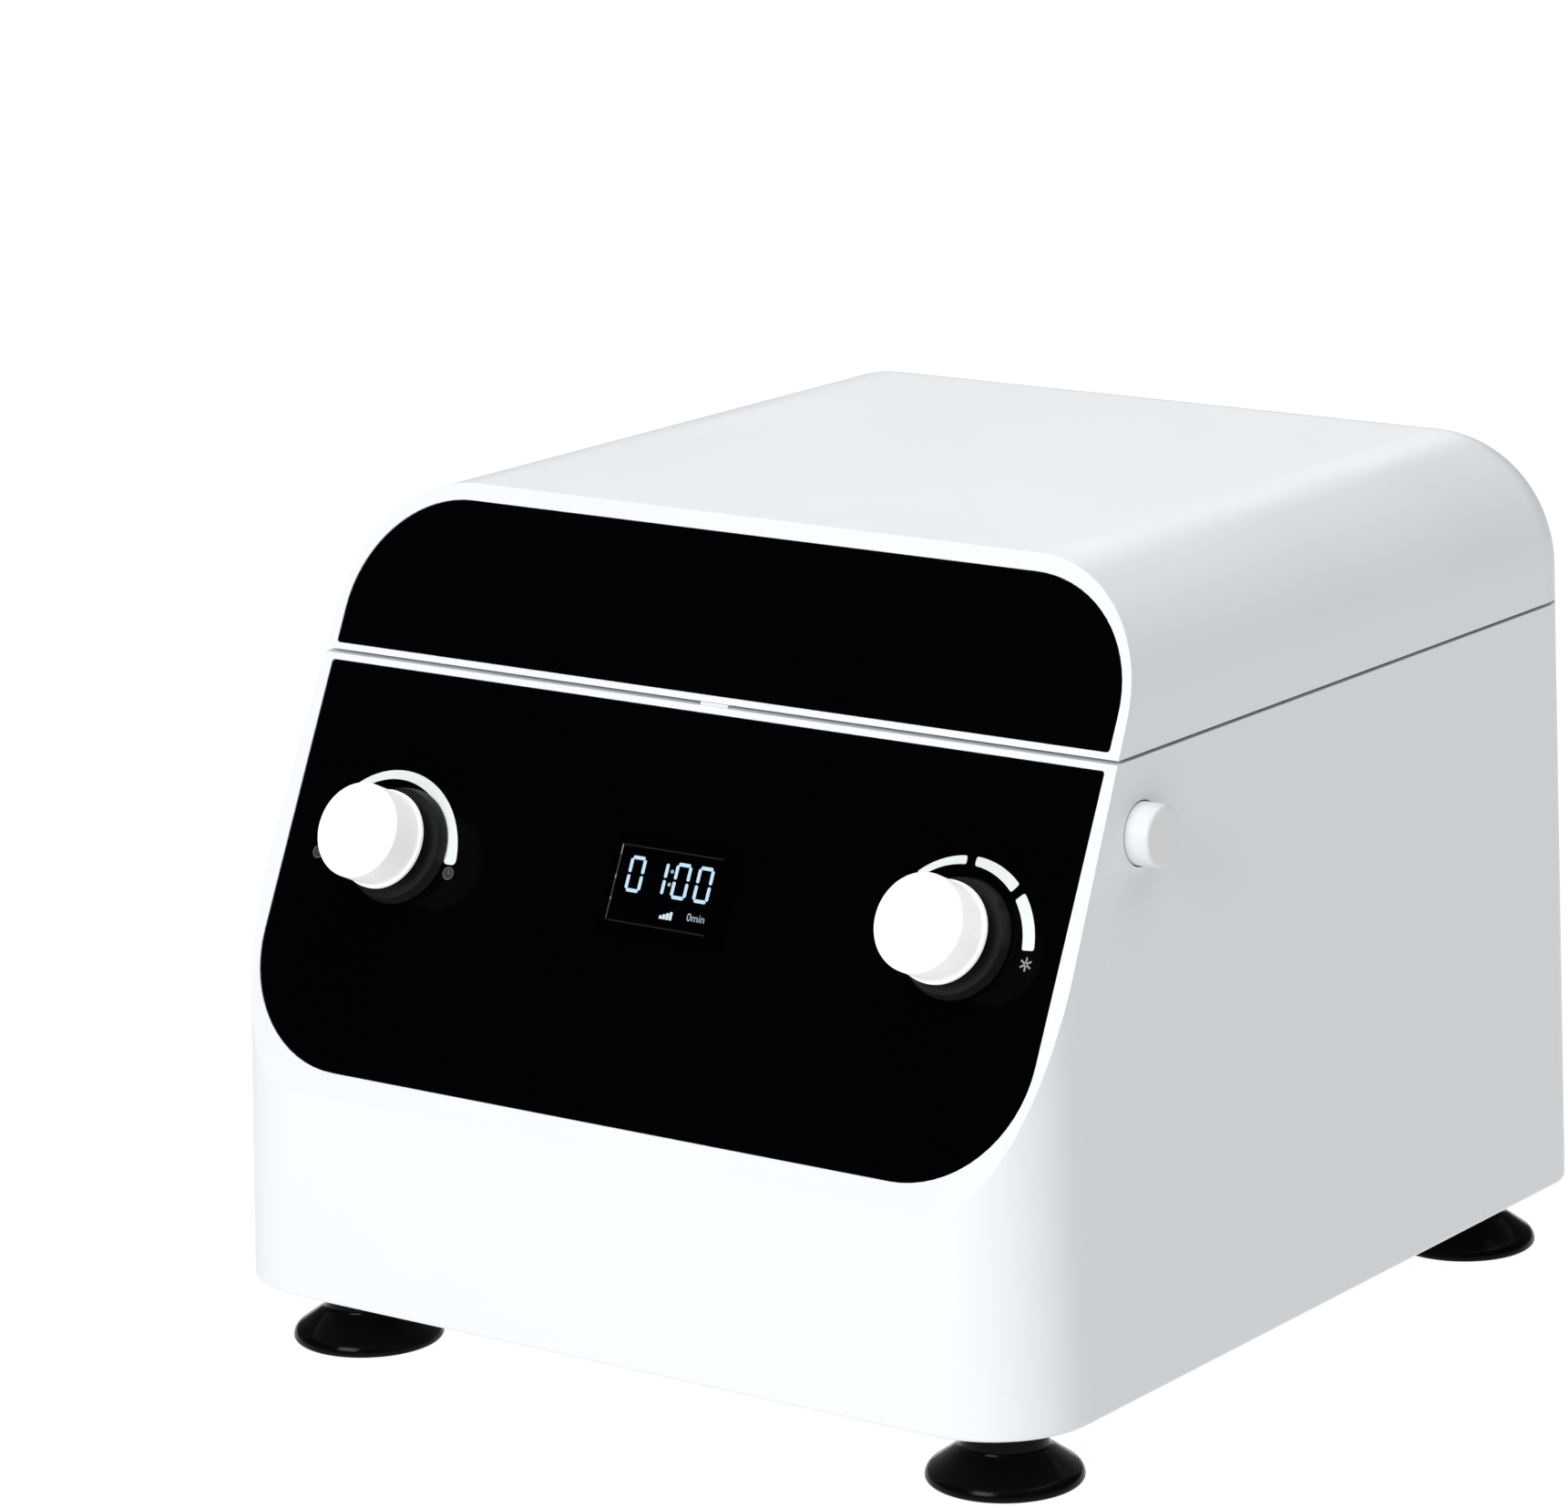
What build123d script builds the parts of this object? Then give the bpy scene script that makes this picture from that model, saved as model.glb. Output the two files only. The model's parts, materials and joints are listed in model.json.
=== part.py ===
from build123d import *
from math import cos, pi, radians, sin, tan
import os

os.makedirs("parts", exist_ok=True)

# A benchtop centrifuge with a lid hinged at the back, a six-place fixed-angle rotor, two
# control knobs and a small display on its sloping black front. Sizes are in millimetres.
# It stands on four suction feet on Z = 0 and its front faces -Y.

# Body
body_height = 227.6
underside_z = 19.6
seam_z = 182.7
seam_gap = 1.0
side_draft = 1.67
knee_z = 76.3
face_lean = 25.3
crown_radius = 36.0
front_corner_radius = 28.0
rear_corner_radius = 17.0
bottom_edge_radius = 1.4
wall = 3.0
face_wall = 4.6
deck_thickness = 3.0
base_thickness = 2.0

# Fits
panel_gap = 0.3
running_gap = 0.05
screw_gap = 0.1
seat_gap = 0.2
screw_tip_gap = 0.5
cut_through = 1.0

# Hinges at the back
hinge_x = 74.0
hinge_width = 36.0
hinge_knuckle_radius = 3.5
hinge_wall_gap = 0.5
hinge_pin_radius = 1.5
hinge_leaf_thickness = 1.5
hinge_leaf_height = 20.0
hinge_corner_radius = 2.0
hinge_tongue_width = 12.0
hinge_screw_spacing = 22.0

# Black front panels
panel_side_inset = 7.9
panel_thickness = 2.0
panel_recess = 2.2
panel_low_s = 6.8
panel_low_radius = 34.0
panel_high_radius = 33.0
panel_sharp_radius = 1.0
panel_straight = 1.0
panel_top_rim = 4.65
seam_lip = 1.75

# Display in the middle of the lower panel
display_s = 68.5
window_width = 40.0
window_height = 27.0
window_corner_radius = 1.5
display_front_width = 36.0
display_front_height = 24.0
display_front_depth = 2.6
display_body_width = 46.0
display_body_height = 32.0

# Knobs and the encoders behind them
knob_spacing = 176.8
knob_shift = 3.4
knob_s = 68.7
knob_cap_radius = 12.7
knob_cap_low = 7.7
knob_cap_high = 19.4
knob_cap_wall = 1.8
knob_cap_front = 2.4
knob_rim_radius = 13.2
knob_rim_height = 1.0
knob_skirt_radius = 15.6
knob_skirt_top_radius = 14.8
knob_skirt_rise = 3.4
knob_skirt_height = 6.4
knob_skirt_neck_radius = 10.6
knob_lift = 0.4
knob_boss_radius = 5.0
knob_boss_gap = 2.4
knob_neck_height = 2.2
knob_nut_gap = 1.2
knob_skirt_wall = 1.0
knob_top_radius = 0.9
knob_shaft_gap = 0.3
encoder_shaft_depth = 2.2
encoder_shaft_radius = 3.0
encoder_bushing_radius = 4.5
encoder_bushing_height = 3.4
encoder_body_size = 16.0
encoder_body_depth = 7.0
encoder_nut_radius = 6.6
encoder_nut_height = 2.0

# Control board behind the sloping face
board_thickness = 1.6
control_board_margin = 19.0
control_board_low_s = 42.0
control_board_high_s = 84.0
board_post_radius = 3.6
board_post_u = 58.0
board_post_margin = 6.0
chip_points = ((-14.0, 60.0), (30.0, 72.0), (40.0, 54.0))
chip_size = (12.0, 9.0)
chip_height = 2.5
connector_point = (-40.0, 68.0)
connector_size = (20.0, 7.0)
board_corner_radius = 3.0

# Chamber and rotor
bowl_inner_radius = 98.0
bowl_thickness = 1.2
bowl_flange_width = 4.8
bowl_side_room = 26.3
bowl_front_gap = 0.49
bowl_back_gap = 2.35
bowl_floor_z = 83.6
bowl_corner_radius = 14.0
bowl_collar_radius = 14.0
bowl_collar_height = 10.0
seal_gap = 0.4
seal_lift = 2.0
seal_rim_height = 1.2
sleeve_count = 6
sleeve_tilt = 35.0
mouth_radius = 38.0
mouth_z = 159.6
sleeve_inner_radius = 8.6
sleeve_wall = 1.0
sleeve_length = 82.0
sleeve_flange_radius = 12.0
sleeve_flange_height = 2.0
rotor_rim_radius = 50.0
rotor_wall = 3.0
spot_face_reach = 8.0
rotor_skirt_length = 58.0
rotor_hub_radius = 13.0
rotor_hub_low_z = 103.6
rotor_hub_top_z = 146.6
rotor_nut_radius = 11.0
rotor_nut_height = 12.0
rotor_nut_grooves = 24
rotor_nut_groove_radius = 0.7
rotor_nut_top = 2.0
rotor_hub_round = 2.0

# Motor under the bowl
shaft_radius = 4.0
shaft_shoulder_radius = 6.5
shaft_shoulder_height = 5.0
shaft_top_z = 155.6
motor_radius = 38.0
motor_height = 40.0
motor_wall = 2.5
motor_end_thickness = 4.0
motor_floor = 3.0
motor_hole_gap = 1.5
bearing_floor = 1.5
bearing_seat_wall = 2.5
bearing_shaft_end = 0.4
mount_hole_gap = 8.0
mount_corner_radius = 8.0
stator_inner_radius = 22.0
stator_height = 22.0
stator_slots = 12
stator_slot_width = 4.0
stator_slot_depth = 8.0
magnet_gap = 0.7
bearing_outer_radius = 11.0
bearing_height = 7.0
mount_plate_size = 104.0
mount_plate_thickness = 3.0
damper_radius = 7.0
damper_waist_radius = 5.2
damper_height = 12.0
damper_spacing = 84.0
motor_screw_circle = 25.0

# Suction feet
foot_side_inset = 27.5
foot_front_inset = 31.3
foot_rear_inset = 21.4
foot_rim_radius = 20.2
foot_rim_z = 1.2
foot_shoulder_radius = 18.7
foot_shoulder_z = 3.9
foot_neck_radius = 11.3
foot_neck_z = 9.2
foot_neck_round = 2.5
foot_cup_depth = 4.0
foot_sole_width = 2.8
foot_screw_depth = 9.0

# Release button on the right side
button_inset = 60.1
button_z = 163.1
button_radius = 8.0
button_proud = 6.5
button_hole_gap = 0.4
button_flange_radius = 9.3
button_flange_height = 1.6
button_stem_radius = 3.0
button_travel = 3.5
button_edge_radius = 1.2
button_wall = 2.0
button_hollow_depth = 4.0
button_stem_reach = 2.5
guide_inner_radius = 9.7
guide_wall = 1.8
guide_length = 18.0
guide_end = 2.0
guide_gap = 0.6
guide_ring_height = 3.0
guide_post_length = 16.0
spring_wire_radius = 0.5
spring_radius = 4.8
spring_turns = 6
switch_block_width = 6.4
switch_block_height = 18.0
switch_block_depth = 9.0
plunger_radius = 1.2
plunger_height = 0.6

# Lid lock at the front
hook_thickness = 3.0
hook_width = 8.0
hook_reach = 17.0
hook_end = 3.2
hook_face_gap = 7.2
hook_slot_gap = 2.0
hook_foot_width = 24.0
hook_foot_thickness = 1.5
hook_foot_shift = 1.0
hook_eye = 5.0
hook_screw_x = 8.0
bolt_tip_x = 3.2
bolt_chamfer = 0.6
bolt_radius = 2.0
bolt_length = 24.0
solenoid_length = 30.0
solenoid_size = 14.0
solenoid_ear = 1.6
solenoid_gap = 3.5
solenoid_hook_gap = 1.5
nib_width = 8.6
nib_x = 2.8
nib_gap = 0.2
nib_inset = 2.2
nib_depth = 3.0

# Lid inside
liner_thickness = 2.5
liner_lift = 2.4
gasket_lift = 0.3
gasket_width = 4.0
gasket_taper = 0.5
liner_screw_inset = 18.3
liner_screw_step = 72.0
liner_column_radius = 4.0
liner_screw_length = 10.0

# Power inlet, fuse drawer and switch at the back
inlet_x = 62.0
inlet_z = 59.6
inlet_flange_width = 50.0
inlet_flange_height = 42.0
inlet_flange_thickness = 2.5
inlet_corner_radius = 4.0
inlet_body_width = 28.0
inlet_body_height = 38.0
inlet_body_depth = 19.0
socket_width = 24.5
socket_height = 17.0
socket_depth = 16.0
socket_lift = 7.0
socket_chamfer = 5.0
pin_width = 2.0
pin_height = 4.0
pin_recess = 5.0
pin_tail = 6.0
pin_spacing = 7.0
pin_offset = 2.0
inlet_screw_spacing = 40.0
fuse_drop = 12.0
fuse_width = 20.0
fuse_height = 7.0
fuse_depth = 15.0
fuse_lip = 1.5
fuse_lip_thickness = 1.3
fuse_corner_radius = 1.0
switch_x = 16.0
switch_cavity_width = 11.4
switch_cavity_height = 18.8
switch_wall = 1.0
switch_depth = 14.0
switch_flange_border = 2.4
switch_flange_thickness = 1.8
switch_corner_radius = 1.5
rocker_angle = 12.0
rocker_gap = 0.4
rocker_half_height = 8.0
rocker_tip = 5.5
rocker_valley = 3.2
rocker_back = 2.0
rocker_pivot_depth = 2.0
rocker_trunnion_radius = 1.2

# Power board in the front of the base
power_board_width = 150.0
power_board_depth = 56.0
power_board_inset = 51.75
pillar_height = 8.0
pillar_radius = 3.2
transformer_size = (46.0, 38.0, 34.0)
transformer_x = -42.0
capacitor_radius = 8.0
capacitor_height = 26.0
capacitor_spacing = 20.0
capacitor_x = 34.0
heat_sink_xs = (4.0, 58.0)
heat_sink_width = 9.0
heat_sink_depth = 26.0
heat_sink_height = 14.0
power_chip_inset = 7.0
power_chip_pitch = 12.0
power_chip_size = (8.0, 6.0)
power_chip_height = 5.0
pillar_inset = 6.0
coil_width = 28.0
coil_overhang = 4.0
coil_height = 27.0

# Vents and screws
vent_length = 46.0
vent_height = 3.0
vent_pitch = 7.0
vent_count = 6
vent_x = -62.0
vent_z = 59.6
base_vent_length = 30.0
base_vent_pitch = 6.0
base_vent_count = 4
base_vent_inset = 76.0
base_boss_radius = 5.0
base_boss_inset = 4.2
base_boss_height = 24.0
base_boss_end = 4.0
base_boss_front_inset = 47.75
base_boss_middle_inset = 14.0
base_boss_rear_inset = 28.25
big_screw_radius = 1.9
big_head_radius = 3.8
big_head_height = 1.3
base_screw_length = 12.0
thread_reach = 4.0
rear_screw_reach = 2.0
small_screw_radius = 1.4
small_head_radius = 2.8
small_head_height = 1.8

# Heights and planes worked out from the sizes above
lean = radians(face_lean)
tilt = radians(sleeve_tilt)
housing_top_z = seam_z - seam_gap / 2
bowl_outer_radius = bowl_inner_radius + bowl_thickness
bowl_flange_radius = bowl_outer_radius + bowl_flange_width
lock_depth = hook_face_gap + hook_width + hook_slot_gap + bowl_front_gap
body_width = 2 * (bowl_flange_radius + bowl_side_room)
body_depth = (
    (housing_top_z - knee_z) * tan(lean) + lock_depth + 2 * bowl_flange_radius + bowl_back_gap + wall
)
hinge_offset = hinge_knuckle_radius + hinge_wall_gap
front_y = -(body_depth + hinge_offset + hinge_knuckle_radius) / 2
rear_y = front_y + body_depth
chamber_y = rear_y - wall - bowl_back_gap - bowl_flange_radius
lid_bottom_z = seam_z + seam_gap / 2
deck_under_z = housing_top_z - deck_thickness
base_top_z = underside_z + base_thickness
hinge_z = lid_bottom_z
board_depth = face_wall + encoder_body_depth
sleeve_outer_radius = sleeve_inner_radius + sleeve_wall
bowl_top_z = housing_top_z + bowl_thickness
liner_low_z = lid_bottom_z + liner_lift
liner_top_z = liner_low_z + liner_thickness
mount_plate_z = base_top_z + damper_height
motor_low_z = mount_plate_z + mount_plate_thickness
motor_top_z = motor_low_z + motor_height
timer_u = knob_shift - knob_spacing / 2
speed_u = knob_shift + knob_spacing / 2
foot_ys = (front_y + foot_front_inset, rear_y - foot_rear_inset)
foot_x = body_width / 2 - foot_side_inset
panel_half_width = body_width / 2 - panel_side_inset
control_board_width = knob_spacing + 2 * control_board_margin
power_board_y = front_y + power_board_inset
base_vent_y = chamber_y + base_vent_inset
base_boss_ys = (
    front_y + base_boss_front_inset,
    chamber_y - base_boss_middle_inset,
    rear_y - base_boss_rear_inset,
)
liner_screw_x = body_width / 2 - liner_screw_inset
liner_screw_ys = (chamber_y - liner_screw_step, chamber_y, chamber_y + liner_screw_step)

face_plane = Plane(origin=(0, front_y, knee_z), x_dir=(1, 0, 0), z_dir=(0, -cos(lean), sin(lean)))
rear_plane = Plane(origin=(0, rear_y, 0), x_dir=(-1, 0, 0), z_dir=(0, 1, 0))
chamber_section = Plane.XZ.offset(-chamber_y)
chamber_axis = Axis((0, chamber_y, 0), (0, 0, 1))
low = (Align.CENTER, Align.CENTER, Align.MIN)
high = (Align.CENTER, Align.CENTER, Align.MAX)


def half_width(z):
    """Half the body's width at a height, with the draft of its sides."""
    return body_width / 2 - (z - underside_z) * tan(radians(side_draft))


def slope_at(z):
    """How far up the sloping face a height lies."""
    return (z - knee_z) / cos(lean)


def face_y(z):
    """Where the sloping face stands at a height."""
    return front_y + (z - knee_z) * tan(lean)


def on_face(u, s, out=0.0):
    """A plane on the sloping face, u across and s up the slope, facing outwards."""
    return Plane(face_plane.from_local_coords((u, s, out)), x_dir=(1, 0, 0), z_dir=face_plane.z_dir)


def sleeve_plane(index):
    """The seat of a tube sleeve, facing out of its mouth."""
    turn = 2 * pi * index / sleeve_count + pi / 2
    across, along = cos(turn), sin(turn)
    seat = (mouth_radius * across, chamber_y + mouth_radius * along, mouth_z)
    side = (-along, across, 0)
    return Plane(seat, x_dir=side, z_dir=(-sin(tilt) * across, -sin(tilt) * along, cos(tilt)))


def body_form(side_inset, face_inset, low_z, high_z):
    """The body's outside from low_z to high_z, drawn in by a wall."""
    top_z = body_height - side_inset
    form_low_z = underside_z - side_inset
    low_half = half_width(form_low_z) - side_inset
    top_half = half_width(top_z) - side_inset
    with BuildPart() as form:
        with BuildSketch(Plane.XZ.offset(-front_y - side_inset)):
            with BuildLine():
                Polyline(
                    (-low_half, form_low_z),
                    (low_half, form_low_z),
                    (top_half, top_z),
                    (-top_half, top_z),
                    close=True,
                )
            make_face()
            fillet(vertices().group_by(Axis.Y)[-1], crown_radius - side_inset)
        extrude(amount=-(body_depth - 2 * side_inset))
        front_edges = faces().sort_by(Axis.Y)[0].edges().sort_by(Axis.Z)[1:]
        fillet(front_edges, front_corner_radius - side_inset)
        rear_edges = faces().sort_by(Axis.Y)[-1].edges().sort_by(Axis.Z)[1:]
        fillet(rear_edges, rear_corner_radius - side_inset)
        split(bisect_by=face_plane.offset(-face_inset), keep=Keep.BOTTOM)
        if high_z < top_z:
            split(bisect_by=Plane.XY.offset(high_z), keep=Keep.BOTTOM)
        if low_z > form_low_z:
            split(bisect_by=Plane.XY.offset(low_z), keep=Keep.TOP)
    return form.part


def panel_outline(low_s, high_s, low_radius, high_radius, inset):
    """The outline of a black panel on the sloping face. Its corners leave its ends a straight."""
    corner_room = high_s - low_s - 2 * inset - min(low_radius, high_radius) - panel_straight
    with BuildSketch() as outline:
        with Locations((0, (low_s + high_s) / 2)):
            Rectangle(2 * (panel_half_width - inset), high_s - low_s - 2 * inset)
        fillet(outline.vertices().group_by(Axis.Y)[0], min(low_radius, corner_room))
        fillet(outline.vertices().group_by(Axis.Y)[-1], min(high_radius, corner_room))
    return outline.sketch


def lower_panel_outline(inset):
    """The lower panel, below the seam."""
    top_s = slope_at(housing_top_z) - seam_lip
    return panel_outline(panel_low_s, top_s, panel_low_radius, panel_sharp_radius, inset)


def upper_panel_outline(inset):
    """The upper panel, on the lid."""
    low_s = slope_at(lid_bottom_z) + seam_lip
    high_s = slope_at(body_height) - panel_top_rim
    return panel_outline(low_s, high_s, panel_sharp_radius, panel_high_radius, inset)


def save(piece, name):
    """Label a finished piece and write its file."""
    piece.part.label = name
    export_step(piece.part, f"parts/{name}.step")


# Places that more than one piece shares
base_screw_points = [
    (side * (half_width(underside_z) - wall - base_boss_inset), y)
    for side in (-1, 1)
    for y in base_boss_ys
]
foot_points = [(side * foot_x, y) for y in foot_ys for side in (-1, 1)]
board_post_points = [
    (side * board_post_u, s)
    for side in (-1, 1)
    for s in (control_board_low_s + board_post_margin, control_board_high_s - board_post_margin)
]
liner_screw_points = [(side * liner_screw_x, y) for side in (-1, 1) for y in liner_screw_ys]
pillar_half_x = power_board_width / 2 - pillar_inset
pillar_half_y = power_board_depth / 2 - pillar_inset
pillar_points = [
    (across * pillar_half_x, power_board_y + along * pillar_half_y)
    for across in (-1, 1)
    for along in (-1, 1)
]
hook_front_y = face_y(housing_top_z) + hook_face_gap
hook_y = hook_front_y + hook_width / 2
button_x = half_width(button_z)
button_y = front_y + button_inset
guide_start_x = button_x - wall - guide_gap
button_plane = Plane(origin=(button_x, button_y, button_z), x_dir=(0, 1, 0), z_dir=(1, 0, 0))
bolt_z = housing_top_z - hook_reach + hook_eye / 2 + hook_end
hinge_screw_drop = hinge_offset + seat_gap + hinge_leaf_height / 2
hook_screw_points = [(side * hook_screw_x, hook_y + hook_foot_shift) for side in (-1, 1)]


# Housing shell with its deck, open underneath
with BuildPart() as housing_hollow:
    add(body_form(wall, face_wall, underside_z - wall, deck_under_z))
    with BuildSketch(Plane.XY.offset(base_top_z)):
        with Locations(*base_screw_points):
            Circle(base_boss_radius)
    extrude(amount=base_boss_height, mode=Mode.SUBTRACT)
    with BuildSketch(face_plane.offset(-board_depth)):
        with Locations(*board_post_points):
            Circle(board_post_radius)
    extrude(amount=board_depth, mode=Mode.SUBTRACT)
    with BuildSketch(button_plane.offset(-wall - guide_ring_height)):
        Circle(guide_inner_radius + 2 * guide_wall + seat_gap)
        Circle(guide_inner_radius + guide_wall + seat_gap, mode=Mode.SUBTRACT)
    extrude(amount=guide_ring_height + wall, mode=Mode.SUBTRACT)

with BuildPart() as housing_shell:
    add(body_form(0, 0, underside_z, housing_top_z))
    fillet(faces().sort_by(Axis.Z)[0].edges(), bottom_edge_radius)
    add(housing_hollow.part, mode=Mode.SUBTRACT)
    with BuildSketch(face_plane.offset(-panel_recess)):
        add(lower_panel_outline(0))
    extrude(amount=panel_recess, mode=Mode.SUBTRACT)
    with BuildSketch(face_plane.offset(-face_wall - cut_through)):
        with Locations((knob_shift, display_s)):
            Rectangle(display_front_width + 2 * panel_gap, display_front_height + 2 * panel_gap)
        with Locations((timer_u, knob_s), (speed_u, knob_s)):
            Circle(encoder_bushing_radius + seat_gap)
    extrude(amount=face_wall + cut_through, mode=Mode.SUBTRACT)
    with BuildSketch(face_plane.offset(-board_depth)):
        with Locations(*board_post_points):
            Circle(small_screw_radius + screw_gap)
    extrude(amount=board_depth - face_wall + cut_through, mode=Mode.SUBTRACT)
    with BuildSketch(Plane.XY.offset(housing_top_z)):
        with Locations((0, chamber_y)):
            Circle(bowl_outer_radius + seat_gap)
        with Locations((0, hook_y)):
            Rectangle(hook_thickness + 2 * hook_slot_gap, hook_width + 2 * hook_slot_gap)
    extrude(amount=-deck_thickness - cut_through, mode=Mode.SUBTRACT)
    with BuildSketch(Plane.XY.offset(housing_top_z)):
        with Locations((nib_x, face_y(housing_top_z) + nib_inset)):
            Rectangle(nib_width, nib_depth)
    extrude(amount=seam_gap - nib_gap)
    with BuildSketch(Plane.XY.offset(base_top_z)):
        with Locations(*base_screw_points):
            Circle(big_screw_radius + screw_gap)
    extrude(amount=base_boss_height - base_boss_end, mode=Mode.SUBTRACT)
    with BuildSketch(button_plane.offset(cut_through)):
        Circle(button_radius + button_hole_gap)
    extrude(amount=-wall - 3 * cut_through, mode=Mode.SUBTRACT)
    with BuildSketch(rear_plane):
        with Locations((-inlet_x, inlet_z)):
            Rectangle(inlet_body_width + 2 * panel_gap, inlet_body_height + 2 * panel_gap)
        with Locations((-switch_x, inlet_z)):
            Rectangle(
                switch_cavity_width + 2 * (switch_wall + panel_gap),
                switch_cavity_height + 2 * (switch_wall + panel_gap),
            )
        with Locations((-vent_x, vent_z)):
            with GridLocations(0, vent_pitch, 1, vent_count):
                SlotOverall(vent_length, vent_height)
        with Locations((-inlet_x, inlet_z)):
            with GridLocations(inlet_screw_spacing, 0, 2, 1):
                Circle(small_screw_radius + screw_gap)
        with Locations((-hinge_x, hinge_z - hinge_screw_drop), (hinge_x, hinge_z - hinge_screw_drop)):
            with GridLocations(hinge_screw_spacing, 0, 2, 1):
                Circle(small_screw_radius + screw_gap)
    extrude(amount=-wall - cut_through, mode=Mode.SUBTRACT)
save(housing_shell, "housing_shell")


def screws(places, head_radius, head_height, shank_radius, name):
    """Pan-head screws, each on a plane that its head sits on, with its own length."""
    with BuildPart() as group:
        for plane, length in places:
            with BuildSketch(plane):
                Circle(head_radius)
            extrude(amount=head_height)
            with BuildSketch(plane):
                Circle(shank_radius)
            extrude(amount=-length)
    save(group, name)


def small_screws(places, name):
    """Pan-head screws of the smaller size."""
    screws(places, small_head_radius, small_head_height, small_screw_radius, name)


def big_screws(places, name):
    """Pan-head screws of the larger size."""
    screws(places, big_head_radius, big_head_height, big_screw_radius, name)


def facing(x, y, z, direction):
    """A plane at a point, facing a direction."""
    return Plane(origin=(x, y, z), z_dir=direction)


# Steel base plate with vents, closing the housing from below
with BuildPart() as base_plate:
    add(body_form(wall + panel_gap, wall, underside_z, base_top_z))
    with BuildSketch(Plane.XY.offset(underside_z)):
        with Locations(*base_screw_points):
            Circle(big_screw_radius + screw_gap)
        with Locations(*foot_points):
            Circle(big_screw_radius + screw_gap)
        with Locations((0, power_board_y), (0, base_vent_y)):
            with GridLocations(0, base_vent_pitch, 1, base_vent_count):
                SlotOverall(base_vent_length, vent_height)
    extrude(amount=base_thickness, mode=Mode.SUBTRACT)
    with BuildSketch(Plane.XY.offset(base_top_z)):
        with Locations(*pillar_points):
            Circle(pillar_radius)
    extrude(amount=pillar_height)
    with BuildSketch(Plane.XY.offset(base_top_z)):
        with Locations(*pillar_points):
            Circle(small_screw_radius + screw_gap)
    extrude(amount=pillar_height, mode=Mode.SUBTRACT)
save(base_plate, "base_plate")

base_places = [(facing(x, y, underside_z, (0, 0, -1)), base_screw_length) for x, y in base_screw_points]
base_places += [
    (facing(x, y, base_top_z, (0, 0, 1)), base_thickness + foot_screw_depth) for x, y in foot_points
]
big_screws(base_places, "base_screws")


# Rubber suction feet
def suction_foot(x, y, name):
    """A foot with a round neck, a flared skirt and a hollow sole."""
    neck = (x + foot_neck_radius, foot_neck_z)
    shoulder = (x + foot_shoulder_radius, foot_shoulder_z)
    rim = (x + foot_rim_radius, foot_rim_z)
    rim_corner = foot_rim_z * (1 - sin(pi / 4))
    with BuildPart() as foot:
        with BuildSketch(Plane.XZ.offset(-y)) as profile:
            with BuildLine():
                Polyline((x, foot_cup_depth), (x, underside_z), (x + foot_neck_radius, underside_z), neck, shoulder)
                TangentArc(shoulder, rim, tangent=(shoulder[0] - neck[0], shoulder[1] - neck[1]))
                ThreePointArc(
                    rim,
                    (x + foot_rim_radius - rim_corner, rim_corner),
                    (x + foot_rim_radius - foot_rim_z, 0),
                )
                Line((x + foot_rim_radius - foot_rim_z, 0), (x + foot_rim_radius - foot_sole_width, 0))
                Line((x + foot_rim_radius - foot_sole_width, 0), (x, foot_cup_depth))
            make_face()
            fillet(profile.vertices().sort_by_distance((*neck, 0))[0], foot_neck_round)
        revolve(axis=Axis((x, y, 0), (0, 0, 1)))
        with BuildSketch(Plane.XY.offset(underside_z)):
            with Locations((x, y)):
                Circle(big_screw_radius + screw_gap)
        extrude(amount=-foot_screw_depth - screw_tip_gap, mode=Mode.SUBTRACT)
    save(foot, name)


foot_names = ("foot_front_left", "foot_front_right", "foot_rear_left", "foot_rear_right")
for (foot_at_x, foot_at_y), foot_name in zip(foot_points, foot_names):
    suction_foot(foot_at_x, foot_at_y, foot_name)

# Gloss black lower panel
with BuildPart() as control_panel:
    with BuildSketch(face_plane.offset(-panel_recess)):
        add(lower_panel_outline(panel_gap / 2))
        with Locations((knob_shift, display_s)):
            RectangleRounded(window_width, window_height, window_corner_radius, mode=Mode.SUBTRACT)
        with Locations((timer_u, knob_s), (speed_u, knob_s)):
            Circle(encoder_bushing_radius + seat_gap, mode=Mode.SUBTRACT)
    extrude(amount=panel_thickness)
save(control_panel, "control_panel")

with BuildPart() as display_window:
    with BuildSketch(on_face(knob_shift, display_s, -panel_recess)):
        RectangleRounded(
            window_width - 2 * running_gap, window_height - 2 * running_gap, window_corner_radius
        )
    extrude(amount=panel_thickness)
save(display_window, "display_window")

# Display module: a glass front in the housing's window and a body on the board
with BuildPart() as display_module:
    with BuildSketch(on_face(knob_shift, display_s, -display_front_depth)):
        Rectangle(display_front_width, display_front_height)
    extrude(amount=display_front_depth - face_wall)
    with BuildSketch(on_face(knob_shift, display_s, -board_depth)):
        Rectangle(display_body_width, display_body_height)
    extrude(amount=board_depth - face_wall - panel_gap)
save(display_module, "display_module")

# Control board, screwed to four posts of the housing
with BuildPart() as control_board:
    with BuildSketch(face_plane.offset(-board_depth)):
        with Locations((knob_shift, (control_board_low_s + control_board_high_s) / 2)):
            RectangleRounded(
                control_board_width, control_board_high_s - control_board_low_s, board_corner_radius
            )
        with Locations(*board_post_points):
            Circle(small_screw_radius + screw_gap, mode=Mode.SUBTRACT)
    extrude(amount=-board_thickness)
    with BuildSketch(face_plane.offset(-board_depth - board_thickness)):
        with Locations(*chip_points):
            Rectangle(*chip_size)
        with Locations(connector_point):
            Rectangle(*connector_size)
    extrude(amount=-chip_height)
save(control_board, "control_board")


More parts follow.
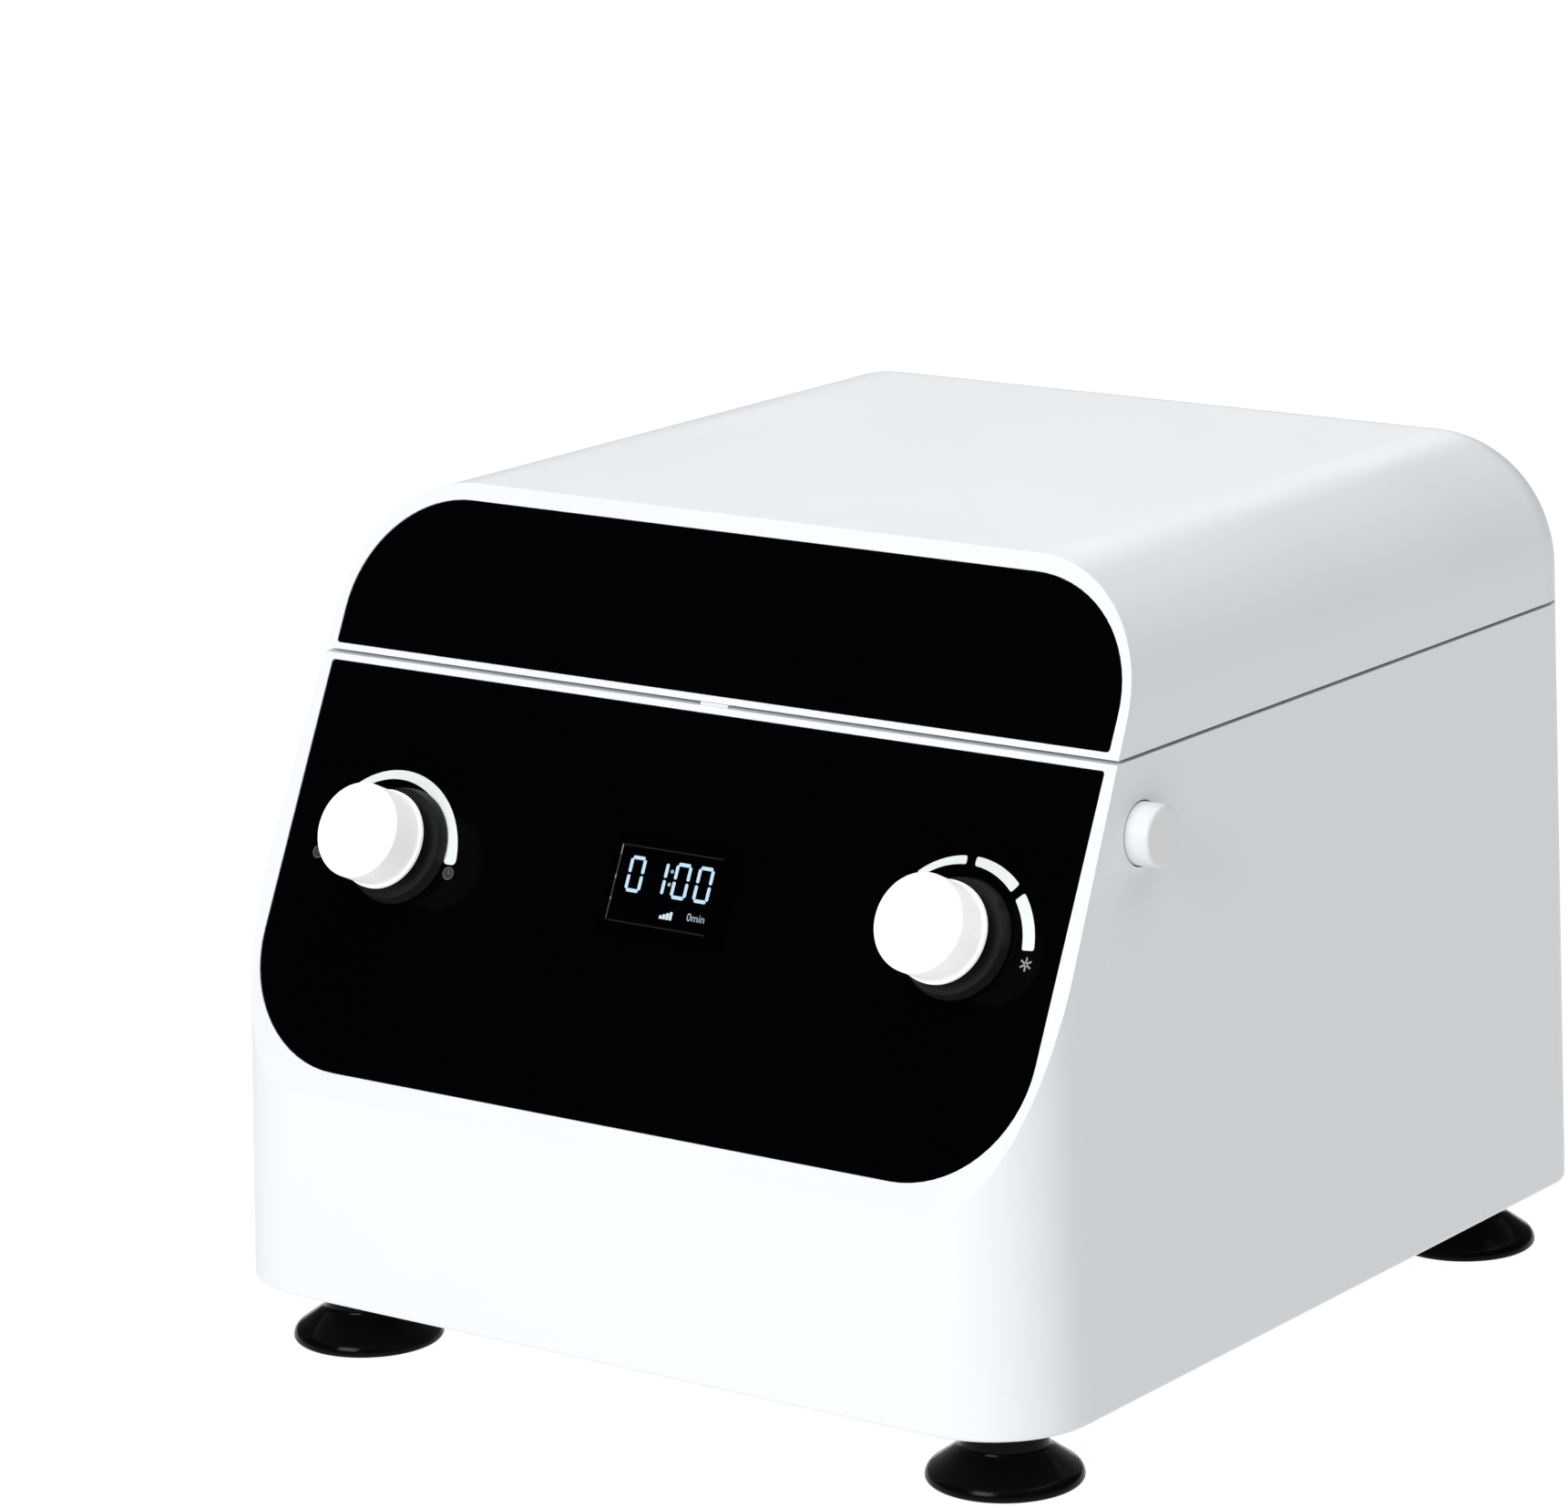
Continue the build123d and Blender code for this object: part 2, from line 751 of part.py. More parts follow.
# Rotary encoders: square bodies under the housing, with threaded bushings through it
with BuildPart() as rotary_encoders:
    for centre_u in (timer_u, speed_u):
        encoder_plane = on_face(centre_u, knob_s, -board_depth)
        with BuildSketch(encoder_plane):
            RectangleRounded(encoder_body_size, encoder_body_size, 1.0)
        extrude(amount=encoder_body_depth)
        with BuildSketch(encoder_plane):
            Circle(encoder_bushing_radius)
        extrude(amount=board_depth + encoder_bushing_height)
        with BuildSketch(encoder_plane.offset(encoder_shaft_depth - seat_gap)):
            Circle(encoder_shaft_radius + running_gap)
        extrude(amount=board_depth + encoder_bushing_height, mode=Mode.SUBTRACT)
save(rotary_encoders, "rotary_encoders")

with BuildPart() as encoder_nuts:
    with BuildSketch(face_plane.offset(panel_thickness - panel_recess)):
        with Locations((timer_u, knob_s), (speed_u, knob_s)):
            RegularPolygon(encoder_nut_radius, 6)
            Circle(encoder_bushing_radius + running_gap, mode=Mode.SUBTRACT)
    extrude(amount=encoder_nut_height)
save(encoder_nuts, "encoder_nuts")


def knob(centre_u, name):
    """A white cap on a dark skirt, both on the encoder's shaft."""
    with BuildPart(on_face(centre_u, knob_s)) as cap:
        with Locations((0, 0, knob_cap_low)):
            Cylinder(knob_cap_radius, knob_cap_high - knob_cap_low, align=low)
            Cylinder(knob_rim_radius, knob_rim_height, align=low)
        fillet(edges().sort_by(face_axis)[-1], knob_top_radius)
        with Locations((0, 0, knob_cap_low)):
            Cylinder(
                knob_cap_radius - knob_cap_wall,
                knob_cap_high - knob_cap_front - knob_cap_low,
                align=low,
                mode=Mode.SUBTRACT,
            )
        boss_low = knob_skirt_height + knob_boss_gap
        with Locations((0, 0, boss_low)):
            Cylinder(knob_boss_radius, knob_cap_high - knob_cap_front / 2 - boss_low, align=low)
        with Locations((0, 0, knob_skirt_height)):
            Cylinder(
                encoder_shaft_radius + running_gap,
                knob_cap_high - knob_cap_front - knob_skirt_height,
                align=low,
                mode=Mode.SUBTRACT,
            )
    save(cap, f"{name}_knob_cap")

    with BuildPart(on_face(centre_u, knob_s)) as skirt:
        with Locations((0, 0, knob_lift)):
            Cone(knob_skirt_radius, knob_skirt_top_radius, knob_skirt_rise - knob_lift, align=low)
        with Locations((0, 0, knob_skirt_rise)):
            Cylinder(knob_skirt_neck_radius, knob_skirt_height + knob_neck_height - knob_skirt_rise, align=low)
        with Locations((0, 0, knob_lift)):
            Cylinder(
                encoder_nut_radius + knob_nut_gap,
                knob_skirt_height - knob_skirt_wall,
                align=low,
                mode=Mode.SUBTRACT,
            )
            Cylinder(encoder_shaft_radius + running_gap, knob_cap_high, align=low, mode=Mode.SUBTRACT)
    save(skirt, f"{name}_knob_skirt")

    with BuildPart(on_face(centre_u, knob_s)) as shaft:
        shaft_low = encoder_shaft_depth - board_depth
        shaft_high = knob_cap_high - knob_cap_front - knob_shaft_gap
        with Locations((0, 0, shaft_low)):
            Cylinder(encoder_shaft_radius, shaft_high - shaft_low, align=low)
    save(shaft, f"{name}_shaft")


face_axis = Axis((0, 0, 0), tuple(face_plane.z_dir))
knob(timer_u, "timer")
knob(speed_u, "speed")

# Drawn metal bowl of the rotor chamber, hung in the deck by its flange
with BuildPart() as chamber_bowl:
    with BuildSketch(chamber_section) as bowl_profile:
        with BuildLine():
            Polyline(
                (bowl_flange_radius, bowl_top_z),
                (bowl_flange_radius, housing_top_z),
                (bowl_outer_radius, housing_top_z),
                (bowl_outer_radius, bowl_floor_z),
                (bowl_collar_radius, bowl_floor_z),
                (bowl_collar_radius, bowl_floor_z + bowl_collar_height),
                (bowl_collar_radius + bowl_thickness, bowl_floor_z + bowl_collar_height),
                (bowl_collar_radius + bowl_thickness, bowl_floor_z + bowl_thickness),
                (bowl_inner_radius, bowl_floor_z + bowl_thickness),
                (bowl_inner_radius, bowl_top_z),
                close=True,
            )
        make_face()
        inner_corner = (bowl_inner_radius, bowl_floor_z + bowl_thickness)
        nearest = bowl_profile.vertices().sort_by_distance(inner_corner)[0]
        fillet(nearest, bowl_corner_radius - bowl_thickness)
        nearest = bowl_profile.vertices().sort_by_distance((bowl_outer_radius, bowl_floor_z))[0]
        fillet(nearest, bowl_corner_radius)
    revolve(axis=chamber_axis)
save(chamber_bowl, "chamber_bowl")


def turned(points, name):
    """A piece turned about the rotor's axis from (radius, height) points."""
    with BuildPart() as piece:
        with BuildSketch(chamber_section):
            with BuildLine():
                Polyline(*points, close=True)
            make_face()
        revolve(axis=chamber_axis)
    save(piece, name)


# Rubber seal between the bowl's collar and the shaft
seal_top_z = bowl_floor_z + bowl_collar_height
turned(
    [
        (shaft_radius + seal_gap, bowl_floor_z + seal_lift),
        (bowl_collar_radius - running_gap, bowl_floor_z + seal_lift),
        (bowl_collar_radius - running_gap, seal_top_z),
        (bowl_collar_radius + bowl_thickness, seal_top_z),
        (bowl_collar_radius + bowl_thickness, seal_top_z + seal_rim_height),
        (shaft_radius + seal_gap, seal_top_z + 2 * seal_rim_height),
    ],
    "shaft_seal",
)

# Motor: a can with its end cap, a slotted stator, bearings, and a magnet on the shaft
motor_inner_radius = motor_radius - motor_wall
motor_cap_z = motor_top_z - motor_end_thickness
motor_floor_z = motor_low_z + motor_floor
bearing_low_z = motor_low_z + bearing_floor
bearing_high_z = motor_top_z - bearing_floor - bearing_height
with BuildPart() as motor_housing:
    with BuildSketch(chamber_section):
        with BuildLine():
            Polyline(
                (shaft_radius + motor_hole_gap, motor_low_z),
                (motor_radius, motor_low_z),
                (motor_radius, motor_cap_z),
                (motor_inner_radius, motor_cap_z),
                (motor_inner_radius, motor_floor_z),
                (bearing_outer_radius + bearing_seat_wall, motor_floor_z),
                (bearing_outer_radius + bearing_seat_wall, bearing_low_z + bearing_height),
                (bearing_outer_radius + running_gap, bearing_low_z + bearing_height),
                (bearing_outer_radius + running_gap, bearing_low_z),
                (shaft_radius + motor_hole_gap, bearing_low_z),
                close=True,
            )
        make_face()
        with BuildLine():
            Polyline(
                (shaft_radius + motor_hole_gap, motor_top_z),
                (motor_radius, motor_top_z),
                (motor_radius, motor_cap_z),
                (bearing_outer_radius + bearing_seat_wall, motor_cap_z),
                (bearing_outer_radius + bearing_seat_wall, bearing_high_z),
                (bearing_outer_radius + running_gap, bearing_high_z),
                (bearing_outer_radius + running_gap, bearing_high_z + bearing_height),
                (shaft_radius + motor_hole_gap, bearing_high_z + bearing_height),
                close=True,
            )
        make_face()
    revolve(axis=chamber_axis)
    with BuildSketch(Plane.XY.offset(motor_low_z)):
        with Locations((0, chamber_y)):
            with PolarLocations(motor_screw_circle, 4, start_angle=45):
                Circle(small_screw_radius + screw_gap)
    extrude(amount=motor_floor, mode=Mode.SUBTRACT)
save(motor_housing, "motor_housing")

stator_low_z = (motor_floor_z + motor_cap_z - stator_height) / 2
with BuildPart() as motor_stator:
    with BuildSketch(Plane.XY.offset(stator_low_z)):
        with Locations((0, chamber_y)):
            Circle(motor_inner_radius - seat_gap)
            Circle(stator_inner_radius, mode=Mode.SUBTRACT)
            with PolarLocations(stator_inner_radius + stator_slot_depth / 2, stator_slots):
                Rectangle(stator_slot_depth + cut_through, stator_slot_width, mode=Mode.SUBTRACT)
    extrude(amount=stator_height)
save(motor_stator, "motor_stator")

with BuildPart() as motor_bearings:
    for bearing_z in (bearing_low_z, bearing_high_z):
        with BuildSketch(Plane.XY.offset(bearing_z)):
            with Locations((0, chamber_y)):
                Circle(bearing_outer_radius)
                Circle(shaft_radius + running_gap, mode=Mode.SUBTRACT)
        extrude(amount=bearing_height)
save(motor_bearings, "motor_bearings")

turned(
    [
        (shaft_radius + running_gap, stator_low_z),
        (stator_inner_radius - magnet_gap, stator_low_z),
        (stator_inner_radius - magnet_gap, stator_low_z + stator_height),
        (shaft_radius + running_gap, stator_low_z + stator_height),
    ],
    "motor_magnet",
)

shoulder_z = rotor_hub_low_z - shaft_shoulder_height
turned(
    [
        (0, bearing_low_z + bearing_shaft_end),
        (shaft_radius, bearing_low_z + bearing_shaft_end),
        (shaft_radius, shoulder_z),
        (shaft_shoulder_radius, shoulder_z),
        (shaft_shoulder_radius, rotor_hub_low_z),
        (shaft_radius, rotor_hub_low_z),
        (shaft_radius, shaft_top_z),
        (0, shaft_top_z),
    ],
    "motor_shaft",
)

with BuildPart() as motor_mount_plate:
    with BuildSketch(Plane.XY.offset(mount_plate_z)):
        with Locations((0, chamber_y)):
            RectangleRounded(mount_plate_size, mount_plate_size, mount_corner_radius)
            Circle(shaft_radius + mount_hole_gap, mode=Mode.SUBTRACT)
            with PolarLocations(motor_screw_circle, 4, start_angle=45):
                Circle(small_screw_radius + screw_gap, mode=Mode.SUBTRACT)
    extrude(amount=mount_plate_thickness)
save(motor_mount_plate, "motor_mount_plate")

# Rubber dampers with a waist, between the base plate and the motor's plate
with BuildPart() as motor_dampers:
    with Locations((0, chamber_y)):
        with GridLocations(damper_spacing, damper_spacing, 2, 2):
            with Locations((0, 0, base_top_z)):
                Cone(damper_radius, damper_waist_radius, damper_height / 2, align=low)
            with Locations((0, 0, base_top_z + damper_height / 2)):
                Cone(damper_waist_radius, damper_radius, damper_height / 2, align=low)
save(motor_dampers, "motor_dampers")

# Fixed-angle rotor head: a dish and a conical skirt around six angled seats
outward = Vector(cos(tilt), sin(tilt))
downward = Vector(sin(tilt), -cos(tilt))
mouth = Vector(mouth_radius, mouth_z)
rim = mouth + outward * ((rotor_rim_radius - mouth_radius) / cos(tilt))
hub_dish_z = mouth_z + (rotor_hub_radius - mouth_radius) * tan(tilt)
inner_rim = rim - outward * rotor_wall + downward * rotor_wall
hub_under_z = inner_rim.Y + (rotor_hub_radius - inner_rim.X) * tan(tilt)
skirt_end = rim + downward * rotor_skirt_length
skirt_inside = skirt_end - outward * rotor_wall
with BuildPart() as rotor_head:
    with BuildSketch(chamber_section) as head_profile:
        with BuildLine():
            Polyline(
                (shaft_radius + running_gap, rotor_hub_low_z),
                (rotor_hub_radius, rotor_hub_low_z),
                (rotor_hub_radius, hub_under_z),
                (inner_rim.X, inner_rim.Y),
                (skirt_inside.X, skirt_inside.Y),
                (skirt_end.X, skirt_end.Y),
                (rim.X, rim.Y),
                (rotor_hub_radius, hub_dish_z),
                (rotor_hub_radius, rotor_hub_top_z),
                (shaft_radius + running_gap, rotor_hub_top_z),
                close=True,
            )
        make_face()
        fillet(head_profile.vertices().sort_by(Axis.Y)[-1], rotor_hub_round)
    revolve(axis=chamber_axis)
    for index in range(sleeve_count):
        with BuildSketch(sleeve_plane(index)):
            Circle(sleeve_flange_radius + seat_gap)
        extrude(amount=spot_face_reach, mode=Mode.SUBTRACT)
        with BuildSketch(sleeve_plane(index)):
            Circle(sleeve_outer_radius + seat_gap)
        extrude(amount=-2 * rotor_wall, mode=Mode.SUBTRACT)
save(rotor_head, "rotor_head")

# Six metal tube sleeves, hung in the rotor by their flanges
for index in range(sleeve_count):
    with BuildPart(sleeve_plane(index)) as tube_sleeve:
        Cylinder(sleeve_outer_radius, sleeve_length - sleeve_outer_radius, align=high)
        with Locations((0, 0, sleeve_outer_radius - sleeve_length)):
            Sphere(sleeve_outer_radius)
        Cylinder(sleeve_flange_radius, sleeve_flange_height, align=low)
        with Locations((0, 0, sleeve_outer_radius - sleeve_length)):
            Cylinder(sleeve_inner_radius, sleeve_length, align=low, mode=Mode.SUBTRACT)
            Sphere(sleeve_inner_radius, mode=Mode.SUBTRACT)
    save(tube_sleeve, f"tube_sleeve_{index + 1}")

# Knurled nut that holds the rotor down
with BuildPart() as rotor_nut:
    with BuildSketch(Plane.XY.offset(rotor_hub_top_z)):
        with Locations((0, chamber_y)):
            Circle(rotor_nut_radius)
            with PolarLocations(rotor_nut_radius, rotor_nut_grooves):
                Circle(rotor_nut_groove_radius, mode=Mode.SUBTRACT)
    extrude(amount=rotor_nut_height)
    with BuildSketch(Plane.XY.offset(rotor_hub_top_z)):
        with Locations((0, chamber_y)):
            Circle(shaft_radius + running_gap)
    extrude(amount=rotor_nut_height - rotor_nut_top, mode=Mode.SUBTRACT)
save(rotor_nut, "rotor_nut")

# Release button, its guide, spring and switch
button_back = -wall - guide_gap - button_flange_height
guide_back = guide_start_x - guide_length
stem_end = guide_back - button_stem_reach
with BuildPart(button_plane) as release_button:
    with Locations((0, 0, button_back)):
        Cylinder(button_radius, button_proud - button_back, align=low)
    fillet(edges().sort_by(Axis.X)[-1], button_edge_radius)
    with Locations((0, 0, button_back)):
        Cylinder(button_flange_radius, button_flange_height, align=low)
        Cylinder(button_radius - button_wall, button_hollow_depth, align=low, mode=Mode.SUBTRACT)
    with Locations((0, 0, stem_end - button_x)):
        Cylinder(button_stem_radius, button_x - stem_end, align=low)
save(release_button, "release_button")

with BuildPart() as button_guide:
    with BuildSketch(button_plane.offset(guide_start_x - button_x)):
        Circle(guide_inner_radius + guide_wall)
    extrude(amount=-guide_length)
    with BuildSketch(button_plane.offset(guide_start_x - button_x)):
        Circle(guide_inner_radius)
    extrude(amount=guide_end - guide_length, mode=Mode.SUBTRACT)
    with BuildSketch(button_plane.offset(guide_back - button_x)):
        with GridLocations(0, switch_block_height + 2 * seat_gap + guide_wall, 1, 2):
            Rectangle(switch_block_width, guide_wall)
    extrude(amount=-guide_post_length)
    with BuildSketch(button_plane.offset(guide_back - button_x)):
        Circle(button_stem_radius + panel_gap)
    extrude(amount=guide_end, mode=Mode.SUBTRACT)
save(button_guide, "button_guide")

switch_front = stem_end - button_travel - plunger_height - panel_gap
with BuildPart() as button_microswitch:
    with BuildSketch(button_plane.offset(switch_front - button_x)):
        Rectangle(switch_block_width, switch_block_height)
    extrude(amount=-switch_block_depth)
    with BuildSketch(button_plane.offset(switch_front - button_x)):
        Circle(plunger_radius)
    extrude(amount=plunger_height)
save(button_microswitch, "button_microswitch")

spring_length = button_x + button_back - guide_back - guide_end - 2 * (spring_wire_radius + screw_gap)
spring_pitch = spring_length / spring_turns
spring_plane = button_plane.offset(guide_back + guide_end + spring_wire_radius + screw_gap - button_x)
with BuildPart() as button_spring:
    with BuildLine() as coil:
        Helix(spring_pitch, spring_length, spring_radius, center=spring_plane.origin, direction=(1, 0, 0))
    with BuildSketch(Plane(coil.line @ 0, z_dir=coil.line % 0)):
        Circle(spring_wire_radius)
    sweep(path=coil.line, is_frenet=True)
save(button_spring, "button_spring")

# Lid lock: a solenoid under the deck pushes its bolt through the lid's hook
solenoid_x = hook_thickness / 2 + solenoid_gap
solenoid_high = deck_under_z - bolt_z
lock_plane = Plane(origin=(solenoid_x, hook_y, bolt_z), x_dir=(0, 1, 0), z_dir=(1, 0, 0))
with BuildPart(lock_plane) as lock_solenoid:
    Box(solenoid_size, 2 * solenoid_high, solenoid_length, align=low)
    Cylinder(bolt_radius + running_gap, bolt_length, align=low, mode=Mode.SUBTRACT)
    with Locations((0, 0, -2 * solenoid_x)):
        Box(solenoid_size, 2 * solenoid_high, solenoid_ear, align=low)
        Cylinder(bolt_radius + 2 * seat_gap, solenoid_ear, align=low, mode=Mode.SUBTRACT)
    with Locations((0, solenoid_high - solenoid_ear / 2, -2 * solenoid_x)):
        Box(solenoid_size, solenoid_ear, 2 * solenoid_x, align=low)
    with Locations((0, solenoid_high - solenoid_ear / 2, solenoid_ear - 2 * solenoid_x)):
        bridge_length = 2 * solenoid_x - solenoid_ear - solenoid_hook_gap
        Box(hook_width + 2 * solenoid_hook_gap, solenoid_ear, bridge_length, align=low, mode=Mode.SUBTRACT)
save(lock_solenoid, "lock_solenoid")

with BuildPart(lock_plane.offset(bolt_tip_x - solenoid_x)) as lock_bolt:
    Cylinder(bolt_radius, bolt_length, align=low)
    chamfer(edges().sort_by(Axis.X)[0], bolt_chamfer)
save(lock_bolt, "lock_bolt")

# Lid shell with its front recess and six columns inside
with BuildPart() as lid_hollow:
    add(body_form(wall, face_wall, lid_bottom_z - wall, body_height))
    with BuildSketch(Plane.XY.offset(liner_top_z)):
        with Locations(*liner_screw_points):
            Circle(liner_column_radius)
    extrude(amount=body_height - liner_top_z, mode=Mode.SUBTRACT)

with BuildPart() as lid_shell:
    add(body_form(0, 0, lid_bottom_z, body_height))
    add(lid_hollow.part, mode=Mode.SUBTRACT)
    with BuildSketch(face_plane.offset(-panel_recess)):
        add(upper_panel_outline(0))
    extrude(amount=panel_recess, mode=Mode.SUBTRACT)
    with BuildSketch(Plane.XY.offset(liner_top_z)):
        with Locations(*liner_screw_points):
            Circle(small_screw_radius + screw_gap)
    extrude(amount=liner_screw_length, mode=Mode.SUBTRACT)
    with BuildSketch(rear_plane):
        with Locations((-hinge_x, hinge_z + hinge_screw_drop), (hinge_x, hinge_z + hinge_screw_drop)):
            with GridLocations(hinge_screw_spacing, 0, 2, 1):
                Circle(small_screw_radius + screw_gap)
    extrude(amount=-wall - cut_through, mode=Mode.SUBTRACT)
save(lid_shell, "lid_shell")

with BuildPart() as lid_panel:
    with BuildSketch(face_plane.offset(-panel_recess)):
        add(upper_panel_outline(panel_gap / 2))
    extrude(amount=panel_thickness)
save(lid_panel, "lid_panel")

# Inner liner that closes the lid from below, and the sealing ring under it
with BuildPart() as lid_liner:
    add(body_form(wall + panel_gap, face_wall + panel_gap, liner_low_z, liner_top_z))
    with BuildSketch(Plane.XY.offset(liner_low_z)):
        with Locations(*liner_screw_points):
            Circle(small_screw_radius + screw_gap)
        with Locations(*hook_screw_points):
            Circle(small_screw_radius + screw_gap)
    extrude(amount=liner_thickness, mode=Mode.SUBTRACT)
save(lid_liner, "lid_liner")

gasket_outer_radius = bowl_flange_radius - gasket_taper
turned(
    [
        (gasket_outer_radius - gasket_width, liner_low_z),
        (gasket_outer_radius, liner_low_z),
        (gasket_outer_radius - gasket_taper, bowl_top_z + gasket_lift),
        (gasket_outer_radius - gasket_width + gasket_taper, bowl_top_z + gasket_lift),
    ],
    "lid_gasket",
)

# Steel hook under the lid, with an eye for the bolt
hook_low_z = housing_top_z - hook_reach
with BuildPart() as lid_hook:
    with BuildSketch(Plane.YZ.offset(-hook_thickness / 2)):
        with Locations((hook_y, (hook_low_z + liner_low_z) / 2)):
            Rectangle(hook_width, liner_low_z - hook_low_z)
        with Locations((hook_y, bolt_z)):
            Rectangle(hook_eye, hook_eye, mode=Mode.SUBTRACT)
    extrude(amount=hook_thickness)
    with BuildSketch(Plane.XY.offset(liner_low_z)):
        with Locations((0, hook_y + hook_foot_shift / 2)):
            Rectangle(hook_foot_width, hook_width + hook_foot_shift)
        with Locations(*hook_screw_points):
            Circle(small_screw_radius + screw_gap, mode=Mode.SUBTRACT)
    extrude(amount=-hook_foot_thickness)
save(lid_hook, "lid_hook")


# Two hinges outside the back wall: leaves, knuckles and pins
def hinge_leaves(up, tongue_places, tongue_width, name):
    """The leaves of both hinges on one side, up the lid's back or down the housing's."""
    leaf_middle = hinge_z + up * hinge_screw_drop
    tongue_height = hinge_screw_drop - hinge_leaf_height / 2
    with BuildPart() as leaves:
        for centre in (-hinge_x, hinge_x):
            with BuildSketch(rear_plane):
                with Locations((centre, leaf_middle)):
                    RectangleRounded(hinge_width, hinge_leaf_height, hinge_corner_radius)
                    with GridLocations(hinge_screw_spacing, 0, 2, 1):
                        Circle(small_screw_radius + screw_gap, mode=Mode.SUBTRACT)
                for place in tongue_places:
                    with Locations((centre + place, hinge_z + up * tongue_height / 2)):
                        Rectangle(tongue_width, tongue_height)
            extrude(amount=hinge_leaf_thickness)
            for place in tongue_places:
                start = centre + place - tongue_width / 2
                knuckle_plane = Plane(
                    origin=(start, rear_y + hinge_offset, hinge_z), x_dir=(0, 1, 0), z_dir=(1, 0, 0)
                )
                with BuildSketch(knuckle_plane):
                    Circle(hinge_knuckle_radius)
                extrude(amount=tongue_width)
                with BuildSketch(knuckle_plane):
                    Circle(hinge_pin_radius + running_gap)
                extrude(amount=tongue_width, mode=Mode.SUBTRACT)
    save(leaves, name)


outer_tongue = (hinge_width - hinge_tongue_width) / 2 - seat_gap
outer_place = (hinge_width - outer_tongue) / 2
hinge_leaves(-1, (-outer_place, outer_place), outer_tongue, "hinge_body_leaves")
hinge_leaves(1, (0,), hinge_tongue_width, "hinge_lid_leaves")

with BuildPart() as hinge_pins:
    for centre in (-hinge_x, hinge_x):
        with BuildSketch(Plane.YZ.offset(centre - hinge_width / 2)):
            with Locations((rear_y + hinge_offset, hinge_z)):
                Circle(hinge_pin_radius)
        extrude(amount=hinge_width)
save(hinge_pins, "hinge_pins")

# Power inlet with its pins and fuse drawer
socket_z = inlet_z + socket_lift
fuse_z = inlet_z - fuse_drop
inlet_front = rear_plane.offset(inlet_flange_thickness)
pin_places = ((0, pin_offset), (-pin_spacing, -pin_offset), (pin_spacing, -pin_offset))
pin_points = [(-inlet_x + across, socket_z + up) for across, up in pin_places]
with BuildPart() as power_inlet:
    with BuildSketch(rear_plane):
        with Locations((-inlet_x, inlet_z)):
            RectangleRounded(inlet_flange_width, inlet_flange_height, inlet_corner_radius)
            with GridLocations(inlet_screw_spacing, 0, 2, 1):
                Circle(small_screw_radius + screw_gap, mode=Mode.SUBTRACT)
    extrude(amount=inlet_flange_thickness)
    with BuildSketch(rear_plane):
        with Locations((-inlet_x, inlet_z)):
            Rectangle(inlet_body_width, inlet_body_height)
    extrude(amount=-inlet_body_depth)
    with BuildSketch(inlet_front) as socket:
        with Locations((-inlet_x, socket_z)):
            Rectangle(socket_width, socket_height)
        chamfer(socket.vertices().group_by(Axis.Y)[-1], socket_chamfer)
    extrude(amount=-socket_depth, mode=Mode.SUBTRACT)
    with BuildSketch(inlet_front):
        with Locations(*pin_points):
            Rectangle(pin_width + 2 * running_gap, pin_height + 2 * running_gap)
    extrude(amount=-inlet_flange_thickness - inlet_body_depth, mode=Mode.SUBTRACT)
    with BuildSketch(inlet_front):
        with Locations((-inlet_x, fuse_z)):
            Rectangle(fuse_width + 2 * seat_gap, fuse_height + 2 * seat_gap)
    extrude(amount=-fuse_depth - screw_tip_gap, mode=Mode.SUBTRACT)
save(power_inlet, "power_inlet")

with BuildPart() as inlet_pins:
    with BuildSketch(inlet_front.offset(-pin_recess)):
        with Locations(*pin_points):
            Rectangle(pin_width, pin_height)
    extrude(amount=pin_recess - inlet_flange_thickness - inlet_body_depth - pin_tail)
save(inlet_pins, "inlet_pins")

with BuildPart() as fuse_drawer:
    with BuildSketch(inlet_front):
        with Locations((-inlet_x, fuse_z)):
            Rectangle(fuse_width, fuse_height)
    extrude(amount=-fuse_depth)
    with BuildSketch(inlet_front.offset(seat_gap)):
        with Locations((-inlet_x, fuse_z)):
            RectangleRounded(fuse_width + 2 * fuse_lip, fuse_height + 2 * fuse_lip, fuse_corner_radius)
    extrude(amount=fuse_lip_thickness)
    with BuildSketch(inlet_front):
        with Locations((-inlet_x, fuse_z)):
            Rectangle(fuse_width - 2 * fuse_corner_radius, fuse_height - 2 * fuse_corner_radius)
    extrude(amount=seat_gap)
save(fuse_drawer, "fuse_drawer")

# Rocker switch, standing in its on position
pivot_y = rear_y - rocker_pivot_depth
with BuildPart() as switch_frame:
    with BuildSketch(rear_plane):
        with Locations((-switch_x, inlet_z)):
            Rectangle(switch_cavity_width + 2 * switch_wall, switch_cavity_height + 2 * switch_wall)
    extrude(amount=-switch_depth)
    with BuildSketch(rear_plane):
        with Locations((-switch_x, inlet_z)):
            RectangleRounded(
                switch_cavity_width + 2 * switch_flange_border,
                switch_cavity_height + 2 * switch_flange_border,
                switch_corner_radius,
            )
    extrude(amount=switch_flange_thickness)
    with BuildSketch(rear_plane.offset(switch_flange_thickness)):
        with Locations((-switch_x, inlet_z)):
            Rectangle(switch_cavity_width, switch_cavity_height)
    extrude(amount=switch_wall - switch_depth - switch_flange_thickness, mode=Mode.SUBTRACT)
    with BuildSketch(Plane.YZ.offset(switch_x)):
        with Locations((pivot_y, inlet_z)):
            Circle(rocker_trunnion_radius + running_gap)
    extrude(amount=switch_cavity_width, both=True, mode=Mode.SUBTRACT)
save(switch_frame, "switch_frame")

